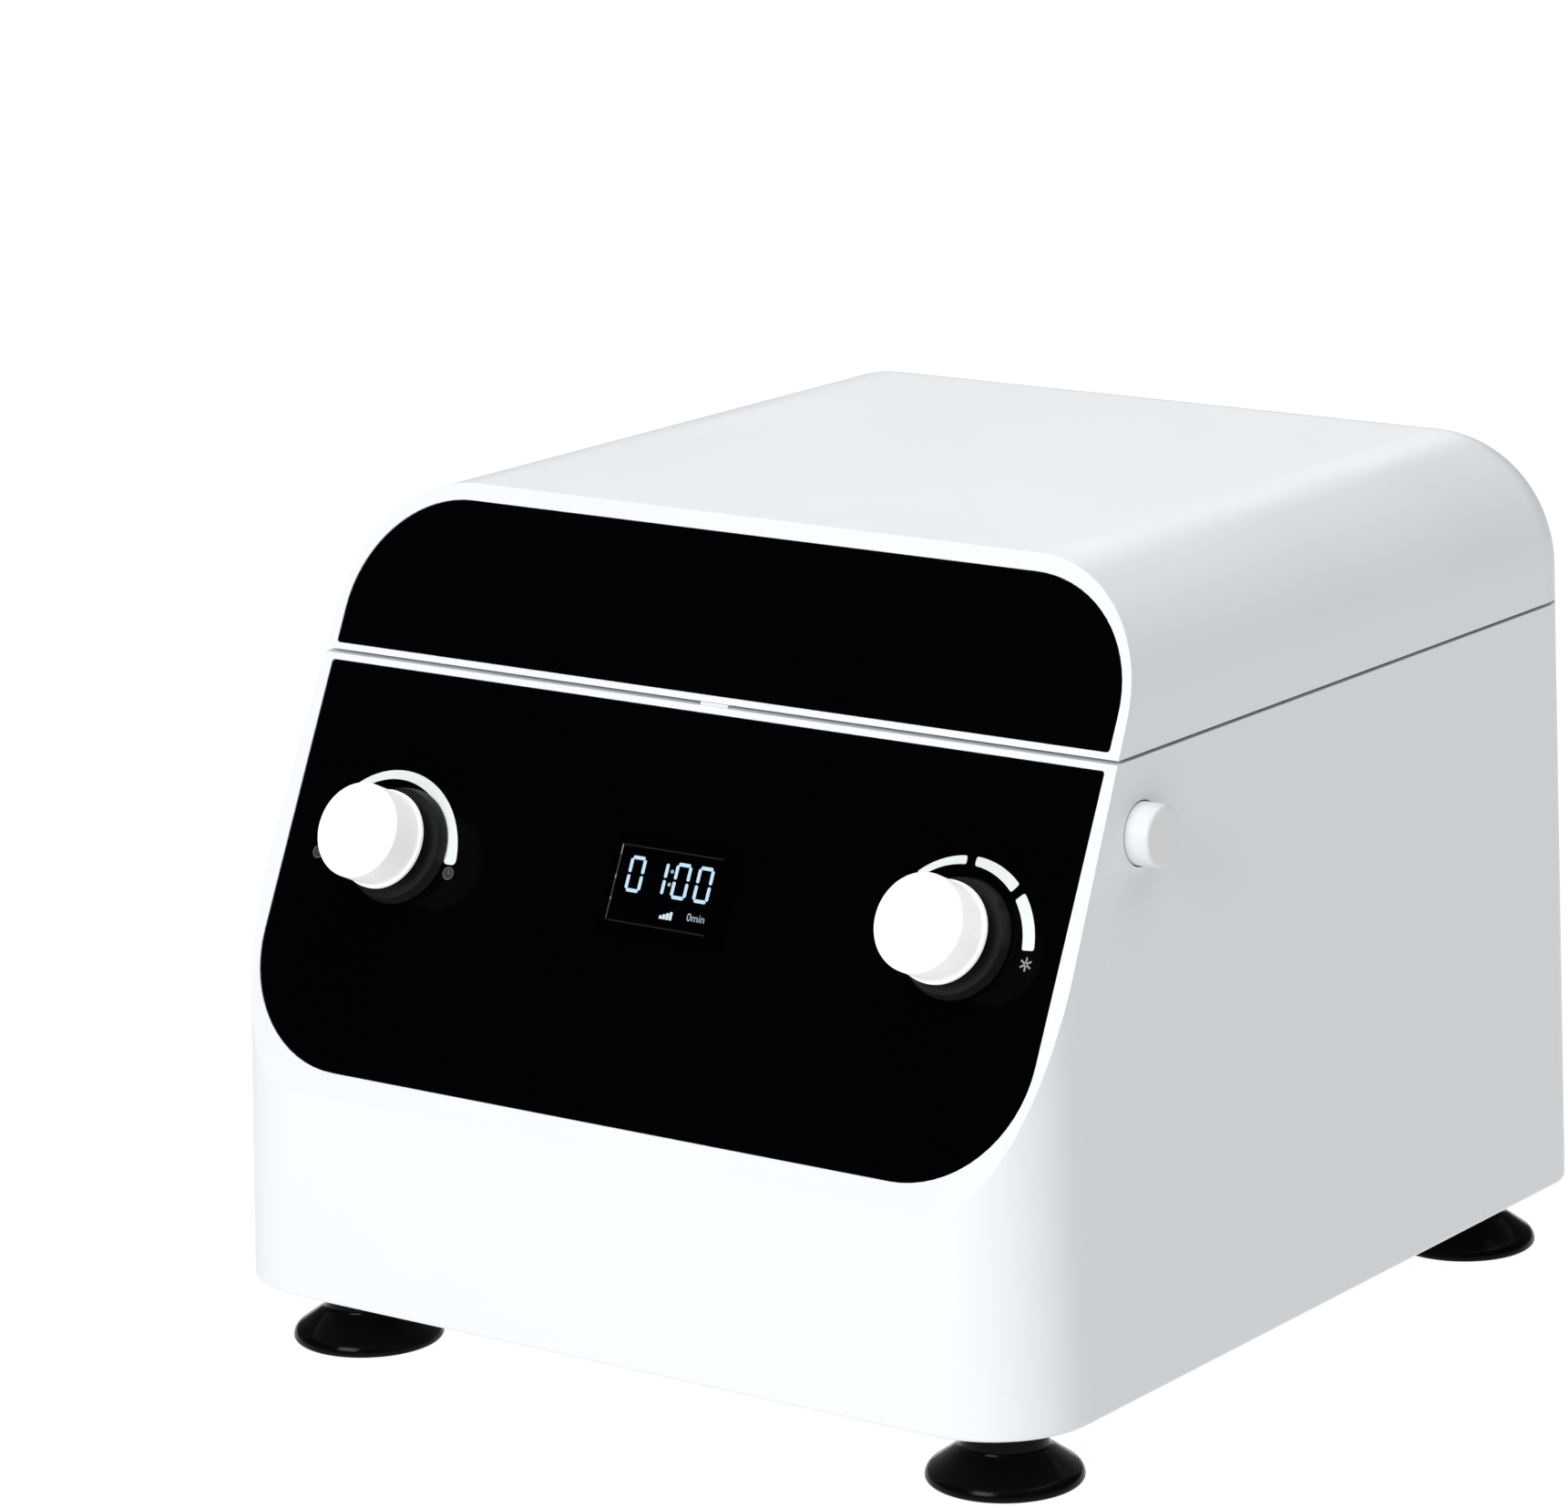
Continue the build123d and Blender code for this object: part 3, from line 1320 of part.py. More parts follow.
rocker_turn = radians(rocker_angle)
rocker_plane = Plane(
    origin=(switch_x, pivot_y, inlet_z),
    x_dir=(0, cos(rocker_turn), sin(rocker_turn)),
    z_dir=(1, 0, 0),
)
with BuildPart() as switch_rocker:
    with BuildSketch(rocker_plane):
        with BuildLine():
            Polyline(
                (rocker_tip, rocker_half_height),
                (rocker_valley, 0),
                (rocker_tip, -rocker_half_height),
                (-rocker_back, -rocker_half_height),
                (-rocker_back, rocker_half_height),
                close=True,
            )
        make_face()
    extrude(amount=switch_cavity_width / 2 - rocker_gap, both=True)
    with BuildSketch(rocker_plane):
        Circle(rocker_trunnion_radius)
    extrude(amount=switch_cavity_width / 2 + switch_wall - seat_gap, both=True)
save(switch_rocker, "switch_rocker")

# Power board on the base plate's pillars, with its transformer and capacitors
power_board_z = base_top_z + pillar_height
power_board_top_z = power_board_z + board_thickness
with BuildPart() as power_board:
    with BuildSketch(Plane.XY.offset(power_board_z)):
        with Locations((0, power_board_y)):
            RectangleRounded(power_board_width, power_board_depth, board_corner_radius)
        with Locations(*pillar_points):
            Circle(small_screw_radius + screw_gap, mode=Mode.SUBTRACT)
    extrude(amount=board_thickness)
    with BuildSketch(Plane.XY.offset(power_board_top_z)):
        for heat_sink_x in heat_sink_xs:
            with Locations((heat_sink_x, power_board_y)):
                Rectangle(heat_sink_width, heat_sink_depth)
    extrude(amount=heat_sink_height)
    with BuildSketch(Plane.XY.offset(power_board_top_z)):
        with Locations((0, power_board_y - power_board_depth / 2 + power_chip_inset)):
            with GridLocations(power_chip_pitch, 0, 3, 1):
                Rectangle(*power_chip_size)
    extrude(amount=power_chip_height)
    with BuildSketch(Plane.XY.offset(power_board_top_z)):
        with Locations((capacitor_x, power_board_y)):
            with GridLocations(0, capacitor_spacing, 1, 2):
                Circle(capacitor_radius)
    extrude(amount=capacitor_height)
save(power_board, "power_board")

with BuildPart() as power_transformer:
    with Locations((transformer_x, power_board_y, power_board_top_z)):
        Box(*transformer_size, align=low)
        Box(coil_width, transformer_size[1] + 2 * coil_overhang, coil_height, align=low)
save(power_transformer, "power_transformer")

# Screws inside, at the back and in the lid
board_back = -board_depth - board_thickness
inward = -face_plane.z_dir
inner_places = [
    (Plane(face_plane.from_local_coords((u, s, board_back)), z_dir=inward), board_thickness + thread_reach)
    for u, s in board_post_points
]
inner_places += [
    (facing(x, y, power_board_top_z, (0, 0, 1)), board_thickness + thread_reach) for x, y in pillar_points
]
motor_screw_length = mount_plate_thickness + motor_floor - screw_tip_gap
for quarter in range(4):
    turn = pi / 4 + quarter * pi / 2
    screw_x = motor_screw_circle * cos(turn)
    screw_y = chamber_y + motor_screw_circle * sin(turn)
    inner_places.append((facing(screw_x, screw_y, mount_plate_z, (0, 0, -1)), motor_screw_length))
small_screws(inner_places, "inner_screws")

hinge_screw_xs = [
    side * hinge_x + step * hinge_screw_spacing / 2 for side in (-1, 1) for step in (-1, 1)
]
leaf_y = rear_y + hinge_leaf_thickness
leaf_screw_length = hinge_leaf_thickness + wall + rear_screw_reach
rear_places = [
    (facing(x, leaf_y, hinge_z - hinge_screw_drop, (0, 1, 0)), leaf_screw_length) for x in hinge_screw_xs
]
for side in (-1, 1):
    screw_x = inlet_x + side * inlet_screw_spacing / 2
    screw_plane = facing(screw_x, rear_y + inlet_flange_thickness, inlet_z, (0, 1, 0))
    rear_places.append((screw_plane, inlet_flange_thickness + wall + rear_screw_reach))
small_screws(rear_places, "rear_screws")

lid_places = [
    (facing(x, y, liner_low_z, (0, 0, -1)), liner_thickness + liner_screw_length - screw_tip_gap)
    for x, y in liner_screw_points
]
lid_places += [
    (facing(x, y, liner_top_z, (0, 0, 1)), liner_thickness + hook_foot_thickness)
    for x, y in hook_screw_points
]
lid_places += [
    (facing(x, leaf_y, hinge_z + hinge_screw_drop, (0, 1, 0)), leaf_screw_length) for x in hinge_screw_xs
]
small_screws(lid_places, "lid_screws")
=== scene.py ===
# %% [markdown]
# A benchtop centrifuge for a teaching laboratory. The solid model already exists, so this lesson
# loads it as a fixed frame and then adds what a solid model doesn't hold: finishes, the printed
# marks on the black front, the lit figures of the display, screw recesses and the studio.
# Everything is in metres, +Z up, with the sloping front facing -Y.

# %% Load the frame
import json
from math import cos, pi, radians, sin

import bmesh
import bpy
from mathutils import Matrix, Vector


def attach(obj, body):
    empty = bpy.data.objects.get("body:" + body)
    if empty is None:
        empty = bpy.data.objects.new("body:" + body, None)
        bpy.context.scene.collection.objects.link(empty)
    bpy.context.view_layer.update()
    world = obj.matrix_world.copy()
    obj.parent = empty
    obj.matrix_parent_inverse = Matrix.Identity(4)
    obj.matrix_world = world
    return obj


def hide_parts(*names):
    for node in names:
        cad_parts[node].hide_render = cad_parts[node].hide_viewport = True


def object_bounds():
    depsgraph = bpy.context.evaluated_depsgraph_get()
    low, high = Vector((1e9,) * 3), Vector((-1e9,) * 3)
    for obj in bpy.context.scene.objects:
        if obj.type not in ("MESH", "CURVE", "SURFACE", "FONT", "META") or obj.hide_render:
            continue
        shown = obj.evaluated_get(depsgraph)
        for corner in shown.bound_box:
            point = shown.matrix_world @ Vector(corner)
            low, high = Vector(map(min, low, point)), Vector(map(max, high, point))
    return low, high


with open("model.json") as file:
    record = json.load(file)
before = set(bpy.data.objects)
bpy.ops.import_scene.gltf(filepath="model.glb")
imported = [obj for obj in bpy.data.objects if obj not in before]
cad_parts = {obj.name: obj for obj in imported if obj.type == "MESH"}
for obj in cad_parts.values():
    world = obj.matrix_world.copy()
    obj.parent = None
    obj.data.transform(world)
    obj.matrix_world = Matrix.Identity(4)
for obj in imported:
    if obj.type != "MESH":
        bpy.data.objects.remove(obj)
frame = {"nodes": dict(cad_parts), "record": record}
cad_low, cad_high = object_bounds()

# %% [markdown]
# The front slopes back above a knee. Marks and figures lie on it, so it gets a frame of its own:
# u runs across, s runs up the slope from the knee, and out stands off the surface. A single
# matrix does the change of frame, which is easier to read than sines in every piece. The black
# panel lies a little below the housing's rim, by PANEL_OUT millimetres.

# %% The sloping front's own frame
MM = 0.001
FACE_LEAN = radians(25.3)
KNEE_Y = -144.3 * MM
KNEE_Z = 76.3 * MM
PANEL_OUT = -0.2

across = Vector((1, 0, 0))
up_slope = Vector((0, sin(FACE_LEAN), cos(FACE_LEAN)))
outwards = Vector((0, -cos(FACE_LEAN), sin(FACE_LEAN)))


def on_front(u, s, out=0.0):
    """The matrix that takes a mark drawn at the origin to (u, s) on the front, in millimetres."""
    turn = Matrix((across, up_slope, outwards)).transposed().to_4x4()
    place = Vector((0, KNEE_Y, KNEE_Z)) + (across * u + up_slope * s + outwards * out) * MM
    return Matrix.Translation(place) @ turn


print("front's lean in degrees:", round(FACE_LEAN * 180 / pi, 2))

# %% [markdown]
# The camera stands where the photographer's did: low, to the front and right, and far away,
# because the box's edges hardly converge. A long lens gives that. Depth of field stays off.

# %% Camera
CAMERA_PLACE = Vector((0.94757, -1.36332, 0.54775))
CAMERA_AZIMUTH = radians(36.015)
CAMERA_PITCH = radians(13.446)
CAMERA_ROLL = radians(-1.103)
SENSOR_WIDTH = 36.0
FOCAL_PIXELS = 6987.5
PHOTO_WIDTH = 1721

forward = Vector((
    -sin(CAMERA_AZIMUTH) * cos(CAMERA_PITCH),
    cos(CAMERA_AZIMUTH) * cos(CAMERA_PITCH),
    -sin(CAMERA_PITCH),
))
level_right = Vector((cos(CAMERA_AZIMUTH), sin(CAMERA_AZIMUTH), 0))
level_up = level_right.cross(forward)
right = level_right * cos(CAMERA_ROLL) + level_up * sin(CAMERA_ROLL)
upward = level_up * cos(CAMERA_ROLL) - level_right * sin(CAMERA_ROLL)

camera_data = bpy.data.cameras.new("camera")
camera_data.sensor_width = SENSOR_WIDTH
camera_data.lens = FOCAL_PIXELS / PHOTO_WIDTH * SENSOR_WIDTH
camera_data.clip_start = 0.05
camera = bpy.data.objects.new("camera", camera_data)
camera.matrix_world = (
    Matrix.Translation(CAMERA_PLACE) @ Matrix((right, upward, -forward)).transposed().to_4x4()
)
bpy.context.scene.collection.objects.link(camera)
bpy.context.scene.camera = camera
print("lens in millimetres:", round(camera_data.lens, 1))

# %% [markdown]
# A product shot on white: the floor is pale and runs on past the picture's edge. It is white
# mostly by a glow of its own, because a floor lit to white by lamps throws so much light back
# that the body's side turns white too. Its underside is see-through, so that the instrument can
# also be looked at from below: a mix of two shaders, switched by Backfacing, does that.

# %% Floor
def link(obj):
    """Put an object into the scene."""
    bpy.context.scene.collection.objects.link(obj)
    return obj


def mesh_object(name, bm):
    """Turn a finished bmesh into an object whose mesh is already in place."""
    mesh = bpy.data.meshes.new(name)
    bm.to_mesh(mesh)
    bm.free()
    return link(bpy.data.objects.new(name, mesh))


FLOOR_HALF = 14.0
FLOOR_TONE = (0.1, 0.1, 0.1, 1)
FLOOR_GLOW = 0.97

bm = bmesh.new()
bmesh.ops.create_grid(bm, x_segments=1, y_segments=1, size=FLOOR_HALF)
floor = mesh_object("floor", bm)
floor_finish = bpy.data.materials.new("studio floor")
floor_finish.use_nodes = True
floor_shader = floor_finish.node_tree.nodes["Principled BSDF"]
floor_shader.inputs["Base Color"].default_value = FLOOR_TONE
floor_shader.inputs["Roughness"].default_value = 0.9
floor_shader.inputs["Specular IOR Level"].default_value = 0.0
floor_shader.inputs["Emission Color"].default_value = (1, 1, 1, 1)
floor_shader.inputs["Emission Strength"].default_value = FLOOR_GLOW
floor_nodes, floor_links = floor_finish.node_tree.nodes, floor_finish.node_tree.links
facing = floor_nodes.new("ShaderNodeNewGeometry")
see_through = floor_nodes.new("ShaderNodeBsdfTransparent")
one_sided = floor_nodes.new("ShaderNodeMixShader")
floor_links.new(facing.outputs["Backfacing"], one_sided.inputs["Fac"])
floor_links.new(floor_shader.outputs["BSDF"], one_sided.inputs[1])
floor_links.new(see_through.outputs["BSDF"], one_sided.inputs[2])
floor_links.new(one_sided.outputs["Shader"], floor_nodes["Material Output"].inputs["Surface"])
floor.data.materials.append(floor_finish)
print("floor reaches", FLOOR_HALF, "m each way")

# %% [markdown]
# The sky is dim round the horizon and brighter overhead, so that the side falls off while bare
# metal still has something to mirror. One soft dark flag is set where the black front would
# mirror it, which is how a photographer keeps piano black black. Both are smooth steps: the flag
# goes by the angle to its middle, the dome by height. A photographed studio would be the usual
# way, but a few nodes need no picture.

# %% Sky
SKY_STRENGTH = 0.1
FLAG_STRENGTH = 0.01
FLAG_TOWARDS = Vector((-0.57, -0.68, 0.46)).normalized()
FLAG_INNER = cos(radians(20))
FLAG_OUTER = cos(radians(38))
DOME_STRENGTH = 0.38
DOME_LOW, DOME_HIGH = 0.45, 0.85

world = bpy.data.worlds.new("studio sky")
world.use_nodes = True
sky_nodes, sky_links = world.node_tree.nodes, world.node_tree.links
sky = sky_nodes["Background"]
sky.inputs["Color"].default_value = (0.97, 0.985, 1.0, 1)
sky_coords = sky_nodes.new("ShaderNodeTexCoord")
nearness = sky_nodes.new("ShaderNodeVectorMath")
nearness.operation = "DOT_PRODUCT"
nearness.inputs[1].default_value = FLAG_TOWARDS
flag = sky_nodes.new("ShaderNodeMapRange")
flag.interpolation_type = "SMOOTHSTEP"
flag.inputs["From Min"].default_value = FLAG_OUTER
flag.inputs["From Max"].default_value = FLAG_INNER
flag.inputs["To Min"].default_value = SKY_STRENGTH
flag.inputs["To Max"].default_value = FLAG_STRENGTH
sky_links.new(sky_coords.outputs["Generated"], nearness.inputs[0])
sky_links.new(nearness.outputs["Value"], flag.inputs["Value"])
heights = sky_nodes.new("ShaderNodeSeparateXYZ")
dome = sky_nodes.new("ShaderNodeMapRange")
dome.interpolation_type = "SMOOTHSTEP"
dome.inputs["From Min"].default_value = DOME_LOW
dome.inputs["From Max"].default_value = DOME_HIGH
dome.inputs["To Max"].default_value = DOME_STRENGTH
both = sky_nodes.new("ShaderNodeMath")
sky_links.new(sky_coords.outputs["Generated"], heights.inputs["Vector"])
sky_links.new(heights.outputs["Z"], dome.inputs["Value"])
sky_links.new(flag.outputs["Result"], both.inputs[0])
sky_links.new(dome.outputs["Result"], both.inputs[1])
sky_links.new(both.outputs["Value"], sky.inputs["Strength"])
bpy.context.scene.world = world
print("sky from", FLAG_STRENGTH, "in the flag to", SKY_STRENGTH + DOME_STRENGTH, "overhead")

# %% [markdown]
# Three broad lamps shape the body: the front is brightest, the top less, and the right side falls
# off to a cool grey. Big lamps keep the shadows soft. The Standard view transform leaves white
# white, where the default one would grey it.

# %% Lamps
def lamp(name, place, size, watts):
    """A square lamp that looks at the middle of the object."""
    data = bpy.data.lights.new(name, "AREA")
    data.size = size
    data.energy = watts
    obj = bpy.data.objects.new(name, data)
    target = (cad_low + cad_high) / 2
    obj.location = place
    obj.rotation_mode = "QUATERNION"
    obj.rotation_quaternion = (target - Vector(place)).to_track_quat("-Z", "Y")
    return link(obj)


lamp("front lamp", (0.1, -2.8, 1.5), 1.4, 71)
lamp("top lamp", (0.75, 0.45, 3.0), 3.0, 43)
lamp("back lamp", (-1.6, 2.6, 1.6), 1.6, 14)
bpy.context.scene.view_settings.view_transform = "Standard"

# %% [markdown]
# Moulded plastic is never mirror-smooth: the tool leaves a faint grain. Cast and drawn metal has
# its own fine scratches. Both are small changes of height, so one group makes a grain at any
# size and stretch. Another makes broad soft patches, which vary the roughness as handling does
# and pull the colour a little between two near tones, as ageing and batches of resin do.
# The groups put out plain values, and the shaders stay in each material.

# %% Shared effects
GRAIN_DETAIL = 3.0
PATCH_DETAIL = 4.0
PATCH_FROM, PATCH_TO = 0.35, 0.65


def new_group(name, inputs, outputs):
    """A shader node group with named value sockets, and its two end nodes."""
    group = bpy.data.node_groups.new(name, "ShaderNodeTree")
    for socket, default in inputs:
        made = group.interface.new_socket(socket, in_out="INPUT", socket_type="NodeSocketFloat")
        made.default_value = default
    for socket in outputs:
        group.interface.new_socket(socket, in_out="OUTPUT", socket_type="NodeSocketFloat")
    start = group.nodes.new("NodeGroupInput")
    end = group.nodes.new("NodeGroupOutput")
    return group, start, end


def surface_grain():
    """Fine height noise in object space, which Stretch draws out along X."""
    values = [("Scale", 1500.0), ("Stretch", 1.0)]
    group, start, end = new_group("surface grain", values, ["Height"])
    coords = group.nodes.new("ShaderNodeTexCoord")
    squeeze = group.nodes.new("ShaderNodeCombineXYZ")
    squeeze.inputs["Y"].default_value = 1.0
    squeeze.inputs["Z"].default_value = 1.0
    stretch = group.nodes.new("ShaderNodeVectorMath")
    stretch.operation = "MULTIPLY"
    noise = group.nodes.new("ShaderNodeTexNoise")
    noise.inputs["Detail"].default_value = GRAIN_DETAIL
    group.links.new(start.outputs["Stretch"], squeeze.inputs["X"])
    group.links.new(coords.outputs["Object"], stretch.inputs[0])
    group.links.new(squeeze.outputs["Vector"], stretch.inputs[1])
    group.links.new(stretch.outputs["Vector"], noise.inputs["Vector"])
    group.links.new(start.outputs["Scale"], noise.inputs["Scale"])
    group.links.new(noise.outputs["Fac"], end.inputs["Height"])
    return group


def handled_gloss():
    """Soft broad patches, as a mask and as a roughness that drifts between two values."""
    values = [("Low", 0.3), ("High", 0.4), ("Scale", 18.0)]
    group, start, end = new_group("handled gloss", values, ["Roughness", "Patches"])
    coords = group.nodes.new("ShaderNodeTexCoord")
    noise = group.nodes.new("ShaderNodeTexNoise")
    noise.inputs["Detail"].default_value = PATCH_DETAIL
    patches = group.nodes.new("ShaderNodeMapRange")
    patches.inputs["From Min"].default_value = PATCH_FROM
    patches.inputs["From Max"].default_value = PATCH_TO
    gloss = group.nodes.new("ShaderNodeMapRange")
    group.links.new(coords.outputs["Object"], noise.inputs["Vector"])
    group.links.new(start.outputs["Scale"], noise.inputs["Scale"])
    group.links.new(noise.outputs["Fac"], patches.inputs["Value"])
    group.links.new(patches.outputs["Result"], gloss.inputs["Value"])
    group.links.new(start.outputs["Low"], gloss.inputs["To Min"])
    group.links.new(start.outputs["High"], gloss.inputs["To Max"])
    group.links.new(gloss.outputs["Result"], end.inputs["Roughness"])
    group.links.new(patches.outputs["Result"], end.inputs["Patches"])
    return group


GRAIN = surface_grain()
GLOSS = handled_gloss()
print("groups:", [g.name for g in bpy.data.node_groups])

# %% [markdown]
# Every finish on the instrument is one colour with its own gloss, so one function makes them all:
# the gloss group drives tone and roughness, the grain group is added where a finish has grain,
# and all that stays the same over the surface is set on the shader's own sockets.
# Values come from looking at each piece: satin white housing, piano black front, charcoal
# skirts, glossy rubber feet, drawn steel bowl and anodised rotor. The knob caps are given a faint
# glow of their own: painted light that lifts their shaded sides. The release button is the
# housing's white made a shade darker: painted shade, as less light falls on it than on the front.

# %% Finishes
BUMP_STRENGTH = 0.6


def finish(name, tone, low, high, grain=None, depth=0.0, stretch=1.0, drift=0.03, **sockets):
    """A material whose tone and roughness drift, with a grain of some scale and depth if asked."""
    material = bpy.data.materials.new(name)
    material.use_nodes = True
    nodes, links = material.node_tree.nodes, material.node_tree.links
    shader = nodes["Principled BSDF"]
    gloss = nodes.new("ShaderNodeGroup")
    gloss.node_tree = GLOSS
    gloss.inputs["Low"].default_value = low
    gloss.inputs["High"].default_value = high
    links.new(gloss.outputs["Roughness"], shader.inputs["Roughness"])
    tones = nodes.new("ShaderNodeValToRGB")
    tones.color_ramp.elements[0].color = (*[c * (1 - drift) for c in tone], 1)
    tones.color_ramp.elements[1].color = (*tone, 1)
    links.new(gloss.outputs["Patches"], tones.inputs["Fac"])
    links.new(tones.outputs["Color"], shader.inputs["Base Color"])
    if grain:
        texture = nodes.new("ShaderNodeGroup")
        texture.node_tree = GRAIN
        texture.inputs["Scale"].default_value = grain
        texture.inputs["Stretch"].default_value = stretch
        bump = nodes.new("ShaderNodeBump")
        bump.inputs["Strength"].default_value = BUMP_STRENGTH
        bump.inputs["Distance"].default_value = depth * MM
        links.new(texture.outputs["Height"], bump.inputs["Height"])
        links.new(bump.outputs["Normal"], shader.inputs["Normal"])
    for socket, value in sockets.items():
        shader.inputs[socket.replace("_", " ")].default_value = value
    return material


FINISHES = {
    "white_plastic": finish(
        "satin white", (0.765, 0.785, 0.805), 0.36, 0.46, 1400, 0.02, drift=0.012
    ),
    "black_gloss": finish(
        "piano black", (0.0008, 0.0008, 0.0014), 0.09, 0.14, Specular_IOR_Level=0.02
    ),
    "window_black": finish(
        "smoked window", (0.0006, 0.0006, 0.001), 0.05, 0.08, Specular_IOR_Level=0.02
    ),
    # The knob caps' glow is painted light: it lifts their shaded sides.
    "knob_white": finish(
        "knob white with painted glow",
        (0.78, 0.785, 0.79),
        0.3,
        0.38,
        drift=0.01,
        Emission_Color=(1, 1, 1, 1),
        Emission_Strength=0.36,
    ),
    "charcoal_plastic": finish(
        "charcoal", (0.008, 0.008, 0.0095), 0.38, 0.5, 1600, 0.02, Specular_IOR_Level=0.2
    ),
    "feet_rubber": finish(
        "shiny rubber", (0.002, 0.002, 0.0025), 0.14, 0.2, Specular_IOR_Level=0.07
    ),
    "seal_rubber": finish("dull rubber", (0.03, 0.03, 0.033), 0.6, 0.75, 1200, 0.03),
    "bowl_steel": finish(
        "drawn steel", (0.72, 0.73, 0.74), 0.32, 0.44, 1100, 0.006, 0.2, Metallic=1.0
    ),
    "steel": finish(
        "turned steel", (0.52, 0.53, 0.54), 0.24, 0.34, 1300, 0.006, 0.3, Metallic=1.0
    ),
    "screw_steel": finish("zinc plate", (0.62, 0.63, 0.64), 0.2, 0.32, Metallic=1.0),
    "base_steel": finish("coated sheet", (0.3, 0.31, 0.32), 0.42, 0.52, 700, 0.02),
    "rotor_black": finish(
        "black anodised", (0.03, 0.03, 0.034), 0.26, 0.34, 1500, 0.006, Metallic=0.7
    ),
    "sleeve_alloy": finish(
        "clear anodised", (0.7, 0.71, 0.73), 0.26, 0.36, 1400, 0.006, Metallic=1.0
    ),
    "motor_grey": finish("powder coat", (0.07, 0.075, 0.08), 0.46, 0.58, 800, 0.05),
    "copper_winding": finish(
        "wound copper", (0.5, 0.2, 0.08), 0.3, 0.42, 500, 0.1, 0.1, Metallic=0.8
    ),
    "magnet_iron": finish(
        "sintered magnet", (0.12, 0.12, 0.13), 0.5, 0.6, 900, 0.03, Metallic=0.6
    ),
    "board_green": finish("solder mask", (0.015, 0.11, 0.045), 0.28, 0.38, 600, 0.02),
    "display_glass": finish("display glass", (0.004, 0.004, 0.005), 0.08, 0.12),
    "pin_brass": finish("flashed brass", (0.72, 0.6, 0.36), 0.2, 0.3, Metallic=1.0),
    "transformer_yellow": finish("yellow tape", (0.62, 0.42, 0.05), 0.4, 0.5, 400, 0.03),
}

# The housing's white made a shade darker: painted shade on the release button, which gets less
# light than the front.
SHADED_BUTTON_FINISH = finish("button white with painted shade", (0.72, 0.735, 0.75), 0.34, 0.44, 1400, 0.015, drift=0.012)

slot_of = {row["node"]: row["material_slot"] for row in frame["record"]["subparts"]}
for node, obj in frame["nodes"].items():
    obj.data.materials.clear()
    material = SHADED_BUTTON_FINISH if node == "release_button" else FINISHES[slot_of[node]]
    obj.data.materials.append(material)
print("finishes:", len(FINISHES))

# %% [markdown]
# The marks on the front are printed ink and lit segments: flat shapes a few hundredths of a
# millimetre high. Each is drawn flat at the origin with bmesh, given its thickness, and then
# taken onto the slope by the front's matrix, so that its object can stay at the origin.

# %% Flat marks
MARK_HEIGHT = 0.06
RING_STEPS = 36


def thicken(bm, height):
    """Give a flat drawing its thickness, all faces outwards."""
    raised = bmesh.ops.extrude_face_region(bm, geom=list(bm.faces))["geom"]
    verts = [v for v in raised if isinstance(v, bmesh.types.BMVert)]
    bmesh.ops.translate(bm, vec=(0, 0, height), verts=verts)
    bmesh.ops.recalc_face_normals(bm, faces=bm.faces)


def plate(bm, u, s, width, height):
    """A flat rectangle, centred, in millimetres."""
    place = Matrix.Translation((u, s, 0)) @ Matrix.Diagonal((width / 2, height / 2, 1, 1))
    bmesh.ops.create_grid(bm, x_segments=1, y_segments=1, size=1, matrix=place)


def disc(bm, u, s, radius, segments=24):
    """A flat round, in millimetres."""
    bmesh.ops.create_circle(
        bm, cap_ends=True, segments=segments, radius=radius, matrix=Matrix.Translation((u, s, 0))
    )


def ring(bm, u, s, inner, outer):
    """A flat ring, in millimetres: one edge across it, spun all the way round and merged."""
    ends = [bm.verts.new((u + radius, s, 0)) for radius in (inner, outer)]
    edge = bm.edges.new(ends)
    bmesh.ops.spin(
        bm,
        geom=[*ends, edge],
        cent=(u, s, 0),
        axis=(0, 0, 1),
        angle=2 * pi,
        steps=RING_STEPS,
        use_merge=True,
    )


def mark(name, bm, material, body="housing", out=0.0, place=None):
    """Finish a flat drawing as a piece of the front, or of any face that a matrix gives."""
    thicken(bm, MARK_HEIGHT)
    bmesh.ops.scale(bm, vec=(MM, MM, MM), verts=bm.verts)
    bmesh.ops.transform(bm, matrix=place or on_front(0, 0, PANEL_OUT + out), verts=bm.verts)
    obj = mesh_object(name, bm)
    obj.data.materials.append(material)
    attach(obj, body)
    return obj


print("marks stand", MARK_HEIGHT, "mm off the panel")

# %% [markdown]
# The display shows four seven-segment figures with a colon. Each figure is a ring of bars with
# small gaps at the joints, so a table says which bars are lit and a loop lays them out. No figure
# here lights the middle bar, so it has no place in the table. A lit bar's material emits a cold
# white.

# %% Lit figures
FIGURE_LEFTS = (-10.9, -3.6, 3.55, 10.6)
FIGURE_LOW = 66.8
FIGURE_WIDTH = 4.95
FIGURE_HEIGHT = 9.5
STROKE = 0.93
JOINT_GAP = 0.3
CUT_SHARE = 0.3
TRIM_SHARE = 0.7
FIGURES = "0100"
COLON_U = 2.6
COLON_HEIGHTS = (70.3, 73.7)
DOT_RADIUS = 0.5
LIT_BARS = {"0": "abcdef", "1": "bc"}


def glow(name, tone, strength):
    """A lit surface: no reflection to speak of, only its own light."""
    material = bpy.data.materials.new(name)
    material.use_nodes = True
    shader = material.node_tree.nodes["Principled BSDF"]
    shader.inputs["Base Color"].default_value = (*[0.1 * c for c in tone], 1)
    shader.inputs["Roughness"].default_value = 0.5
    shader.inputs["Emission Color"].default_value = (*tone, 1)
    shader.inputs["Emission Strength"].default_value = strength
    return material


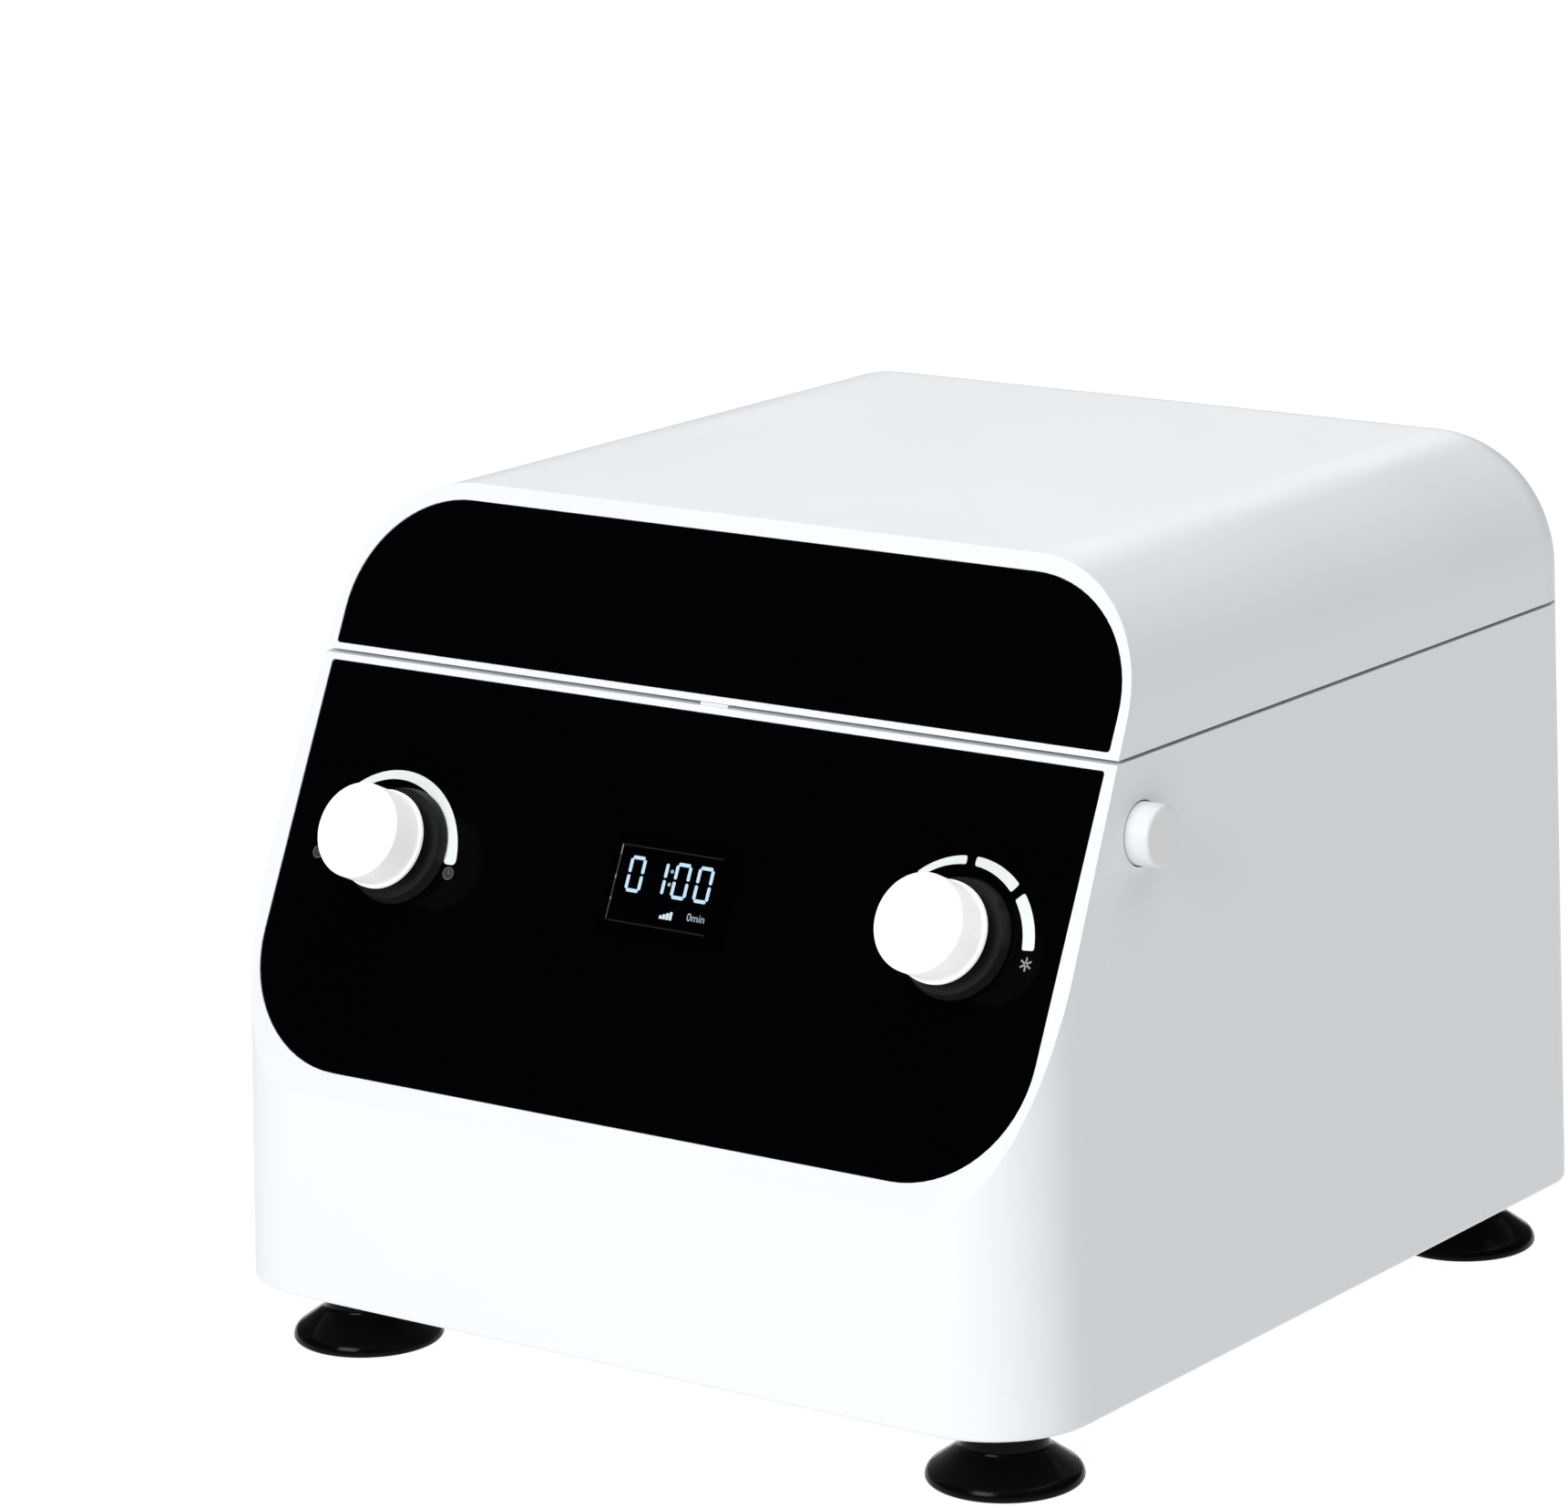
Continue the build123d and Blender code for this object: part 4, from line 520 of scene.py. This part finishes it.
def bar(bm, u, s, width, height):
    """One lit bar with its corners cut."""
    cut = STROKE * CUT_SHARE
    half_w, half_h = width / 2, height / 2
    corners = [
        (-half_w + cut, -half_h),
        (half_w - cut, -half_h),
        (half_w, -half_h + cut),
        (half_w, half_h - cut),
        (half_w - cut, half_h),
        (-half_w + cut, half_h),
        (-half_w, half_h - cut),
        (-half_w, -half_h + cut),
    ]
    bm.faces.new([bm.verts.new((u + x, s + y, 0)) for x, y in corners])


def figure(bm, left, lit):
    """One figure of the display from its lit bars."""
    middle_u = left + FIGURE_WIDTH / 2
    middle_s = FIGURE_LOW + FIGURE_HEIGHT / 2
    reach_u = (FIGURE_WIDTH - STROKE) / 2
    reach_s = (FIGURE_HEIGHT - STROKE) / 2
    flat = (FIGURE_WIDTH - 2 * JOINT_GAP - STROKE * TRIM_SHARE, STROKE)
    upright = (STROKE, reach_s - JOINT_GAP * 2)
    places = {
        "a": (0, reach_s, flat),
        "b": (reach_u, reach_s / 2, upright),
        "c": (reach_u, -reach_s / 2, upright),
        "d": (0, -reach_s, flat),
        "e": (-reach_u, -reach_s / 2, upright),
        "f": (-reach_u, reach_s / 2, upright),
    }
    for name in lit:
        du, ds, size = places[name]
        bar(bm, middle_u + du, middle_s + ds, *size)


LIT = glow("lit figures", (0.6, 0.82, 1.0), 0.82)
DIM_LIT = glow("lit signs", (0.6, 0.76, 0.85), 0.45)
RAMP_LIT = glow("lit ramp", (0.72, 0.88, 0.97), 0.8)

bm = bmesh.new()
for left, figure_name in zip(FIGURE_LEFTS, FIGURES):
    figure(bm, left, LIT_BARS[figure_name])
mark("display_figures", bm, LIT)

bm = bmesh.new()
for s in COLON_HEIGHTS:
    disc(bm, COLON_U, s, DOT_RADIUS, 16)
mark("display_colon", bm, DIM_LIT)
print("lit bars:", sum(len(LIT_BARS[name]) for name in FIGURES))

# %% [markdown]
# Under the figures stand a small rising-ramp sign and a unit. The ramp is four bars of growing
# height. The unit is text from the built-in font, made a mesh and set on the slope like the rest.

# %% Small signs on the display
RAMP_LEFT = 2.3
RAMP_LOW = 61.3
RAMP_PITCH = 1.02
RAMP_BARS = 4
RAMP_FIRST, RAMP_RISE = 0.9, 0.4
RAMP_FILL = 0.82
UNIT_PLACE = (10.3, 61.9)
UNIT_SIZE = 2.9

bm = bmesh.new()
for step in range(RAMP_BARS):
    tall = RAMP_FIRST + RAMP_RISE * step
    middle_u = RAMP_LEFT + step * RAMP_PITCH
    plate(bm, middle_u, RAMP_LOW + tall / 2, RAMP_PITCH * RAMP_FILL, tall)
mark("display_ramp", bm, RAMP_LIT)


def text_drawing(words, size, place):
    """Flat lettering as a bmesh, in millimetres."""
    curve = bpy.data.curves.new("lettering", "FONT")
    curve.body = words
    curve.size = size
    letters = bpy.data.objects.new("lettering", curve)
    bm = bmesh.new()
    mesh = bpy.data.meshes.new_from_object(letters)
    bm.from_mesh(mesh)
    bpy.data.meshes.remove(mesh)
    bpy.data.objects.remove(letters)
    bpy.data.curves.remove(curve)
    bmesh.ops.remove_doubles(bm, verts=bm.verts, dist=0.001)
    bmesh.ops.translate(bm, vec=(*place, 0), verts=bm.verts)
    return bm


mark("display_unit", text_drawing("0min", UNIT_SIZE, UNIT_PLACE), DIM_LIT)
print("ramp", round(RAMP_BARS * RAMP_PITCH, 1), "mm wide, unit's letters", UNIT_SIZE, "mm")

# %% [markdown]
# A thin grey line frames the display's lit area. Down the left it is painted brighter, with three
# painted glints at its top and at two spots, where the edge of the glass catches the light. Thin
# plates make it, in three greys.

# %% Display frame line
FRAME_LEFT, FRAME_RIGHT = -14.4, 17.0
FRAME_LOW, FRAME_HIGH = 58.9, 78.8
FRAME_LINE = 0.4


def grey_ink_and_glint(name, level):
    """Flat grey of one level: printed ink, and painted highlight on the display's frame line."""
    return finish(name, (level, level, level), 0.5, 0.6, Specular_IOR_Level=0.12)


# The two lighter greys are painted highlight down the left, where the glass edge catches the light;
# the dark grey is the line's own.
PAINTED_GLINT_GREY = grey_ink_and_glint("painted glint on frame line", 0.17)
LEFT_LINE_WITH_PAINTED_SHEEN = grey_ink_and_glint("left frame line with painted sheen", 0.035)
DARK_LINE = grey_ink_and_glint("dark frame line", 0.005)
# Three painted glints on the left line, as shares of its height.
PAINTED_GLINTS = ((0.86, 1.0), (0.54, 0.6), (0.26, 0.3))
frame_tall = FRAME_HIGH - FRAME_LOW
bm = bmesh.new()
for low_share, high_share in PAINTED_GLINTS:
    middle_share = (low_share + high_share) / 2
    glint_tall = frame_tall * (high_share - low_share)
    plate(bm, FRAME_LEFT, FRAME_LOW + frame_tall * middle_share, FRAME_LINE, glint_tall)
mark("display_frame_painted_glints", bm, PAINTED_GLINT_GREY, out=MARK_HEIGHT / 4)
bm = bmesh.new()
plate(bm, FRAME_LEFT, (FRAME_LOW + FRAME_HIGH) / 2, FRAME_LINE, frame_tall)
mark("display_frame_left", bm, LEFT_LINE_WITH_PAINTED_SHEEN)
bm = bmesh.new()
frame_middle = (FRAME_LEFT + FRAME_RIGHT) / 2
for s in (FRAME_LOW, FRAME_HIGH):
    plate(bm, frame_middle + FRAME_LINE, s, FRAME_RIGHT - FRAME_LEFT - FRAME_LINE, FRAME_LINE)
mark("display_frame_rest", bm, DARK_LINE)
print("frame line:", round(FRAME_RIGHT - FRAME_LEFT, 1), "by", round(frame_tall, 1), "mm")

# %% [markdown]
# Round each knob runs a printed scale. The timer's is one unbroken band with rounded corners;
# the speed's is four equal dashes. Each band's inner and outer edge are arcs with centres a
# little apart, so its width changes along the way, while every cut across it follows a ray from
# one middle. Small signs below the ends say what the knob sets: a clock on either side for the
# timer, a star-like rotor for the speed.

# %% Printed scales
TIMER_OUTER = (-88.94, 65.41, 23.23)
TIMER_INNER = (-89.82, 66.05, 20.1)
TIMER_MIDDLE = (-89.3, 65.7)
TIMER_ENDS = (0.8, 179.2)
SPEED_OUTER = (91.07, 66.58, 23.15)
SPEED_INNER = (90.09, 66.76, 20.65)
SPEED_MIDDLE = (90.6, 66.7)
DASHES = ((5.2, 42.7), (49.7, 87.1), (94.2, 131.7), (138.7, 176.2))
SPEED_CORNER = 0.55
TIMER_CORNER = SPEED_CORNER * 2.3
CORNER_TURNS = (0, 30, 60, 90)
STEPS_PER_DEGREE = 0.4
CLOCKS = ((-67.3, 63.7), (-111.2, 63.7))
CLOCK_RADIUS = 1.75
CLOCK_RIM = 0.35
HAND_WIDTH, LONG_HAND, SHORT_HAND = 0.4, 1.2, 0.5
STAR = (112.74, 65.26)
STAR_POINTS = 6
POINT_MIDDLE = 1.2
POINT_HALF = (0.55, 0.22)
STAR_HUB = (0.3, 0.6)

INK = finish("white ink", (0.74, 0.78, 0.78), 0.4, 0.5)
DULL_INK = grey_ink_and_glint("dull ink", 0.085)
DIM_INK = grey_ink_and_glint("dim ink", 0.03)
STAR_INK = grey_ink_and_glint("star ink", 0.3)


def on_arc(arc, middle, degrees):
    """Where a ray from the middle, at an angle from 3 o'clock, meets an arc (u, s, radius)."""
    ray = Vector((cos(radians(degrees)), sin(radians(degrees))))
    offset = Vector(middle) - Vector(arc[:2])
    along = ray.dot(offset)
    reach = -along + (along**2 - offset.length_squared + arc[2] ** 2) ** 0.5
    return (Vector(middle) + ray * reach).to_3d()


def scale_band(bm, inner, outer, middle, start, end, corner):
    """A flat band between two arcs whose centres may differ, with rounded corners.

    Each row is a cut across the band: its angle, and how far both its ends step inwards.
    """
    corner_degrees = corner / outer[2] * 180 / pi
    first, last = start + corner_degrees, end - corner_degrees
    steps = round((end - start) * STEPS_PER_DEGREE)
    near_rows = []
    for turn in CORNER_TURNS:
        angle = start + corner_degrees * (1 - cos(radians(turn)))
        near_rows.append((angle, corner - corner * sin(radians(turn))))
    plain_rows = [(first + (last - first) * step / steps, 0.0) for step in range(1, steps)]
    far_rows = [(start + end - angle, inset) for angle, inset in reversed(near_rows)]
    pairs = []
    for angle, inset in near_rows + plain_rows + far_rows:
        low, high = on_arc(inner, middle, angle), on_arc(outer, middle, angle)
        step_in = (high - low).normalized() * inset
        pairs.append((bm.verts.new(low + step_in), bm.verts.new(high - step_in)))
    for (low, high), (next_low, next_high) in zip(pairs, pairs[1:]):
        bm.faces.new((low, high, next_high, next_low))


bm = bmesh.new()
scale_band(bm, TIMER_INNER, TIMER_OUTER, TIMER_MIDDLE, *TIMER_ENDS, TIMER_CORNER)
mark("timer_scale", bm, INK)

bm = bmesh.new()
for start, end in DASHES:
    scale_band(bm, SPEED_INNER, SPEED_OUTER, SPEED_MIDDLE, start, end, SPEED_CORNER)
mark("speed_scale", bm, INK)

bm = bmesh.new()
for clock_u, clock_s in CLOCKS:
    disc(bm, clock_u, clock_s, CLOCK_RADIUS)
mark("timer_sign_faces", bm, DIM_INK)
bm = bmesh.new()
for clock_u, clock_s in CLOCKS:
    ring(bm, clock_u, clock_s, CLOCK_RADIUS - CLOCK_RIM, CLOCK_RADIUS)
    plate(bm, clock_u, clock_s + (LONG_HAND - HAND_WIDTH) / 2, HAND_WIDTH, LONG_HAND)
    plate(bm, clock_u + (SHORT_HAND + HAND_WIDTH) / 2, clock_s, SHORT_HAND, HAND_WIDTH)
mark("timer_signs", bm, DULL_INK, out=MARK_HEIGHT / 2)

bm = bmesh.new()
star_place = Matrix.Translation((*STAR, 0))
for point in range(STAR_POINTS):
    turn = (2 * point + 1) * pi / STAR_POINTS
    ray = Matrix.Rotation(turn, 4, "Z") @ Matrix.Translation((POINT_MIDDLE, 0, 0))
    place = star_place @ ray @ Matrix.Diagonal((*POINT_HALF, 1, 1))
    bmesh.ops.create_grid(bm, x_segments=1, y_segments=1, size=1, matrix=place)
ring(bm, *STAR, *STAR_HUB)
mark("speed_sign", bm, STAR_INK)

# %% [markdown]
# The tube places of a rotor are numbered, so that whoever loads it can keep it in balance. Each
# number lies on the rotor's dish, between the hub and its tube, and reads from outside. It is
# drawn like the display's unit, then a matrix of right, up and normal lays it on the cone.

# %% Numbers of the tube places
TUBES = 6
ROTOR_Y = 27.45 * MM
DISH_LEAN = radians(35)
MOUTH_RADIUS, MOUTH_Z = 38.0 * MM, 159.6 * MM
NUMBER_RADIUS = 20.5 * MM
NUMBER_SIZE = 6.5
ENGRAVED = finish("engraved number", (0.68, 0.69, 0.7), 0.5, 0.6)


def lying_at(place, up, normal):
    """The matrix that lays a drawing at a place, with its top towards up and its face out."""
    return Matrix.Translation(place) @ Matrix((up.cross(normal), up, normal)).transposed().to_4x4()


dish_z = MOUTH_Z + (NUMBER_RADIUS - MOUTH_RADIUS) * sin(DISH_LEAN) / cos(DISH_LEAN)
for index in range(TUBES):
    turn = index * 2 * pi / TUBES + pi / 2
    radial = Vector((cos(turn), sin(turn), 0))
    up = -radial * cos(DISH_LEAN) - Vector((0, 0, sin(DISH_LEAN)))
    normal = Vector((0, 0, cos(DISH_LEAN))) - radial * sin(DISH_LEAN)
    place = radial * NUMBER_RADIUS + Vector((0, ROTOR_Y, dish_z))
    bm = text_drawing(str(index + 1), NUMBER_SIZE, (0, 0))
    middle = sum((v.co for v in bm.verts), Vector()) / len(bm.verts)
    bmesh.ops.translate(bm, vec=-middle, verts=bm.verts)
    lying = lying_at(place, up, normal)
    mark(f"tube_number_{index + 1}", bm, ENGRAVED, "rotor", place=lying)
print("tube numbers lie at a radius of", round(NUMBER_RADIUS / MM, 1), "mm")

# %% [markdown]
# The mains switch is a rocker with the usual line for on and ring for off. Its two faces meet in
# a shallow valley, and at rest the upper one is pressed in, so each mark gets the lean of its own
# face. The marks ride on the rocker.

# %% Marks on the mains switch
ROCKER_PIVOT = Vector((16.0, 134.8, 59.6)) * MM
ROCKER_TURN = radians(12)
ROCKER_TIP, ROCKER_VALLEY, ROCKER_HALF = 5.5 * MM, 3.2 * MM, 8.0 * MM
ON_LINE = (0.7, 3.6)
OFF_RING = (1.2, 1.8)

rocker_out = Vector((0, cos(ROCKER_TURN), sin(ROCKER_TURN)))
rocker_up = Vector((0, -sin(ROCKER_TURN), cos(ROCKER_TURN)))
face_middle = (ROCKER_TIP + ROCKER_VALLEY) / 2
for side, name in ((1, "switch_on_mark"), (-1, "switch_off_mark")):
    rise = (ROCKER_TIP - ROCKER_VALLEY) * side * rocker_out
    face_up = (rise + ROCKER_HALF * rocker_up).normalized()
    face_out = Vector((-1, 0, 0)).cross(face_up)
    place = ROCKER_PIVOT + rocker_out * face_middle + rocker_up * side * ROCKER_HALF / 2
    bm = bmesh.new()
    if side == 1:
        plate(bm, 0, 0, *ON_LINE)
    else:
        ring(bm, 0, 0, *OFF_RING)
    mark(name, bm, INK, "rocker", place=lying_at(place, face_up, face_out))
print("switch marks lean", round(ROCKER_TURN * 180 / pi), "degrees with the rocker")

# %% [markdown]
# Screws that show have a driver's cross in their heads, which the solid model leaves to this file.
# The node is copied and its doubles merged. Every loose part is one screw: the long side of its
# box is its axis, and its head is at the outer end, backwards or downwards. A tapered cross goes
# there, turned from screw to screw as hands leave them, and a Boolean modifier sinks all crosses
# at once. The result is kept as a plain mesh, which replaces the node. The cross starts as a grid
# of three by three with its lines at a third, so halfway out tells its middle from its rim.

# %% Cross recesses in the screws
CROSS_REACH = 0.28
CROSS_ARM = 0.55
CROSS_TAPER = 0.6
CROSS_DEPTH = 0.16
CROSS_ABOVE = 0.5
CROSS_TURN = radians(37)
HALFWAY = 0.5
SAME_POINT = 1e-6


def loose_parts(bm):
    """The separate solids of a mesh, each as a list of its vertices."""
    waiting, parts = set(bm.verts), []
    while waiting:
        found = [waiting.pop()]
        for vert in found:
            near = {edge.other_vert(vert) for edge in vert.link_edges} & waiting
            waiting -= near
            found.extend(near)
        parts.append(found)
    return parts


def cross_mesh():
    """A cross of unit reach, one deep below its origin, narrower at its bottom."""
    bm = bmesh.new()
    bmesh.ops.create_grid(bm, x_segments=3, y_segments=3, size=1)
    for vert in bm.verts:
        vert.co.x *= CROSS_ARM if abs(vert.co.x) < HALFWAY else 1
        vert.co.y *= CROSS_ARM if abs(vert.co.y) < HALFWAY else 1
    corners = [f for f in bm.faces if min(abs(c) for c in f.calc_center_median()[:2]) > HALFWAY]
    bmesh.ops.delete(bm, geom=corners, context="FACES")
    thicken(bm, 1 + CROSS_ABOVE)
    bmesh.ops.translate(bm, vec=(0, 0, -1), verts=bm.verts)
    bottom = [v for v in bm.verts if v.co.z < -HALFWAY]
    bmesh.ops.scale(bm, vec=(CROSS_TAPER, CROSS_TAPER, 1), verts=bottom)
    mesh = bpy.data.meshes.new("cross")
    bm.to_mesh(mesh)
    bm.free()
    return mesh


def recess(node, body):
    """Replace a node of screws by a copy with a cross in every head."""
    bm = bmesh.new()
    bm.from_mesh(frame["nodes"][node].data)
    bmesh.ops.remove_doubles(bm, verts=bm.verts, dist=SAME_POINT)
    crosses = bmesh.new()
    parts = loose_parts(bm)
    parts.sort(key=lambda part: tuple(round(min(v.co[axis] for v in part), 4) for axis in range(3)))
    for index, part in enumerate(parts):
        low = Vector([min(v.co[axis] for v in part) for axis in range(3)])
        high = Vector([max(v.co[axis] for v in part) for axis in range(3)])
        head = (low + high) / 2
        if high.y - low.y > high.z - low.z:
            outer = Vector((0, 1, 0))
            head.y = high.y
        else:
            outer = Vector((0, 0, -1))
            head.z = low.z
        upright = outer.to_track_quat("Z", "Y").to_matrix().to_4x4()
        turn = upright @ Matrix.Rotation(CROSS_TURN * index, 4, "Z")
        width = high.x - low.x
        size = Matrix.Diagonal((width * CROSS_REACH, width * CROSS_REACH, width * CROSS_DEPTH, 1))
        place = Matrix.Translation(head) @ turn @ size
        ready = len(crosses.verts)
        crosses.from_mesh(CROSS)
        crosses.verts.ensure_lookup_table()
        bmesh.ops.transform(crosses, matrix=place, verts=crosses.verts[ready:])
    screws = mesh_object(f"{node}_recessed", bm)
    cutter = mesh_object("cutter", crosses)
    cut = screws.modifiers.new("cross recess", "BOOLEAN")
    cut.operation = "DIFFERENCE"
    cut.solver = "EXACT"
    cut.object = cutter
    bpy.context.view_layer.update()
    finished = screws.evaluated_get(bpy.context.evaluated_depsgraph_get())
    mesh = bpy.data.meshes.new_from_object(finished)
    screws.modifiers.clear()
    screws.data = mesh
    screws.data.materials.clear()
    screws.data.materials.append(FINISHES[slot_of[node]])
    bpy.data.objects.remove(cutter)
    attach(screws, body)
    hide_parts(node)
    print(node, "screws:", len(parts), "faces:", len(mesh.polygons))


CROSS = cross_mesh()
for node, body in (("rear_screws", "housing"), ("lid_screws", "lid"), ("base_screws", "housing")):
    recess(node, body)
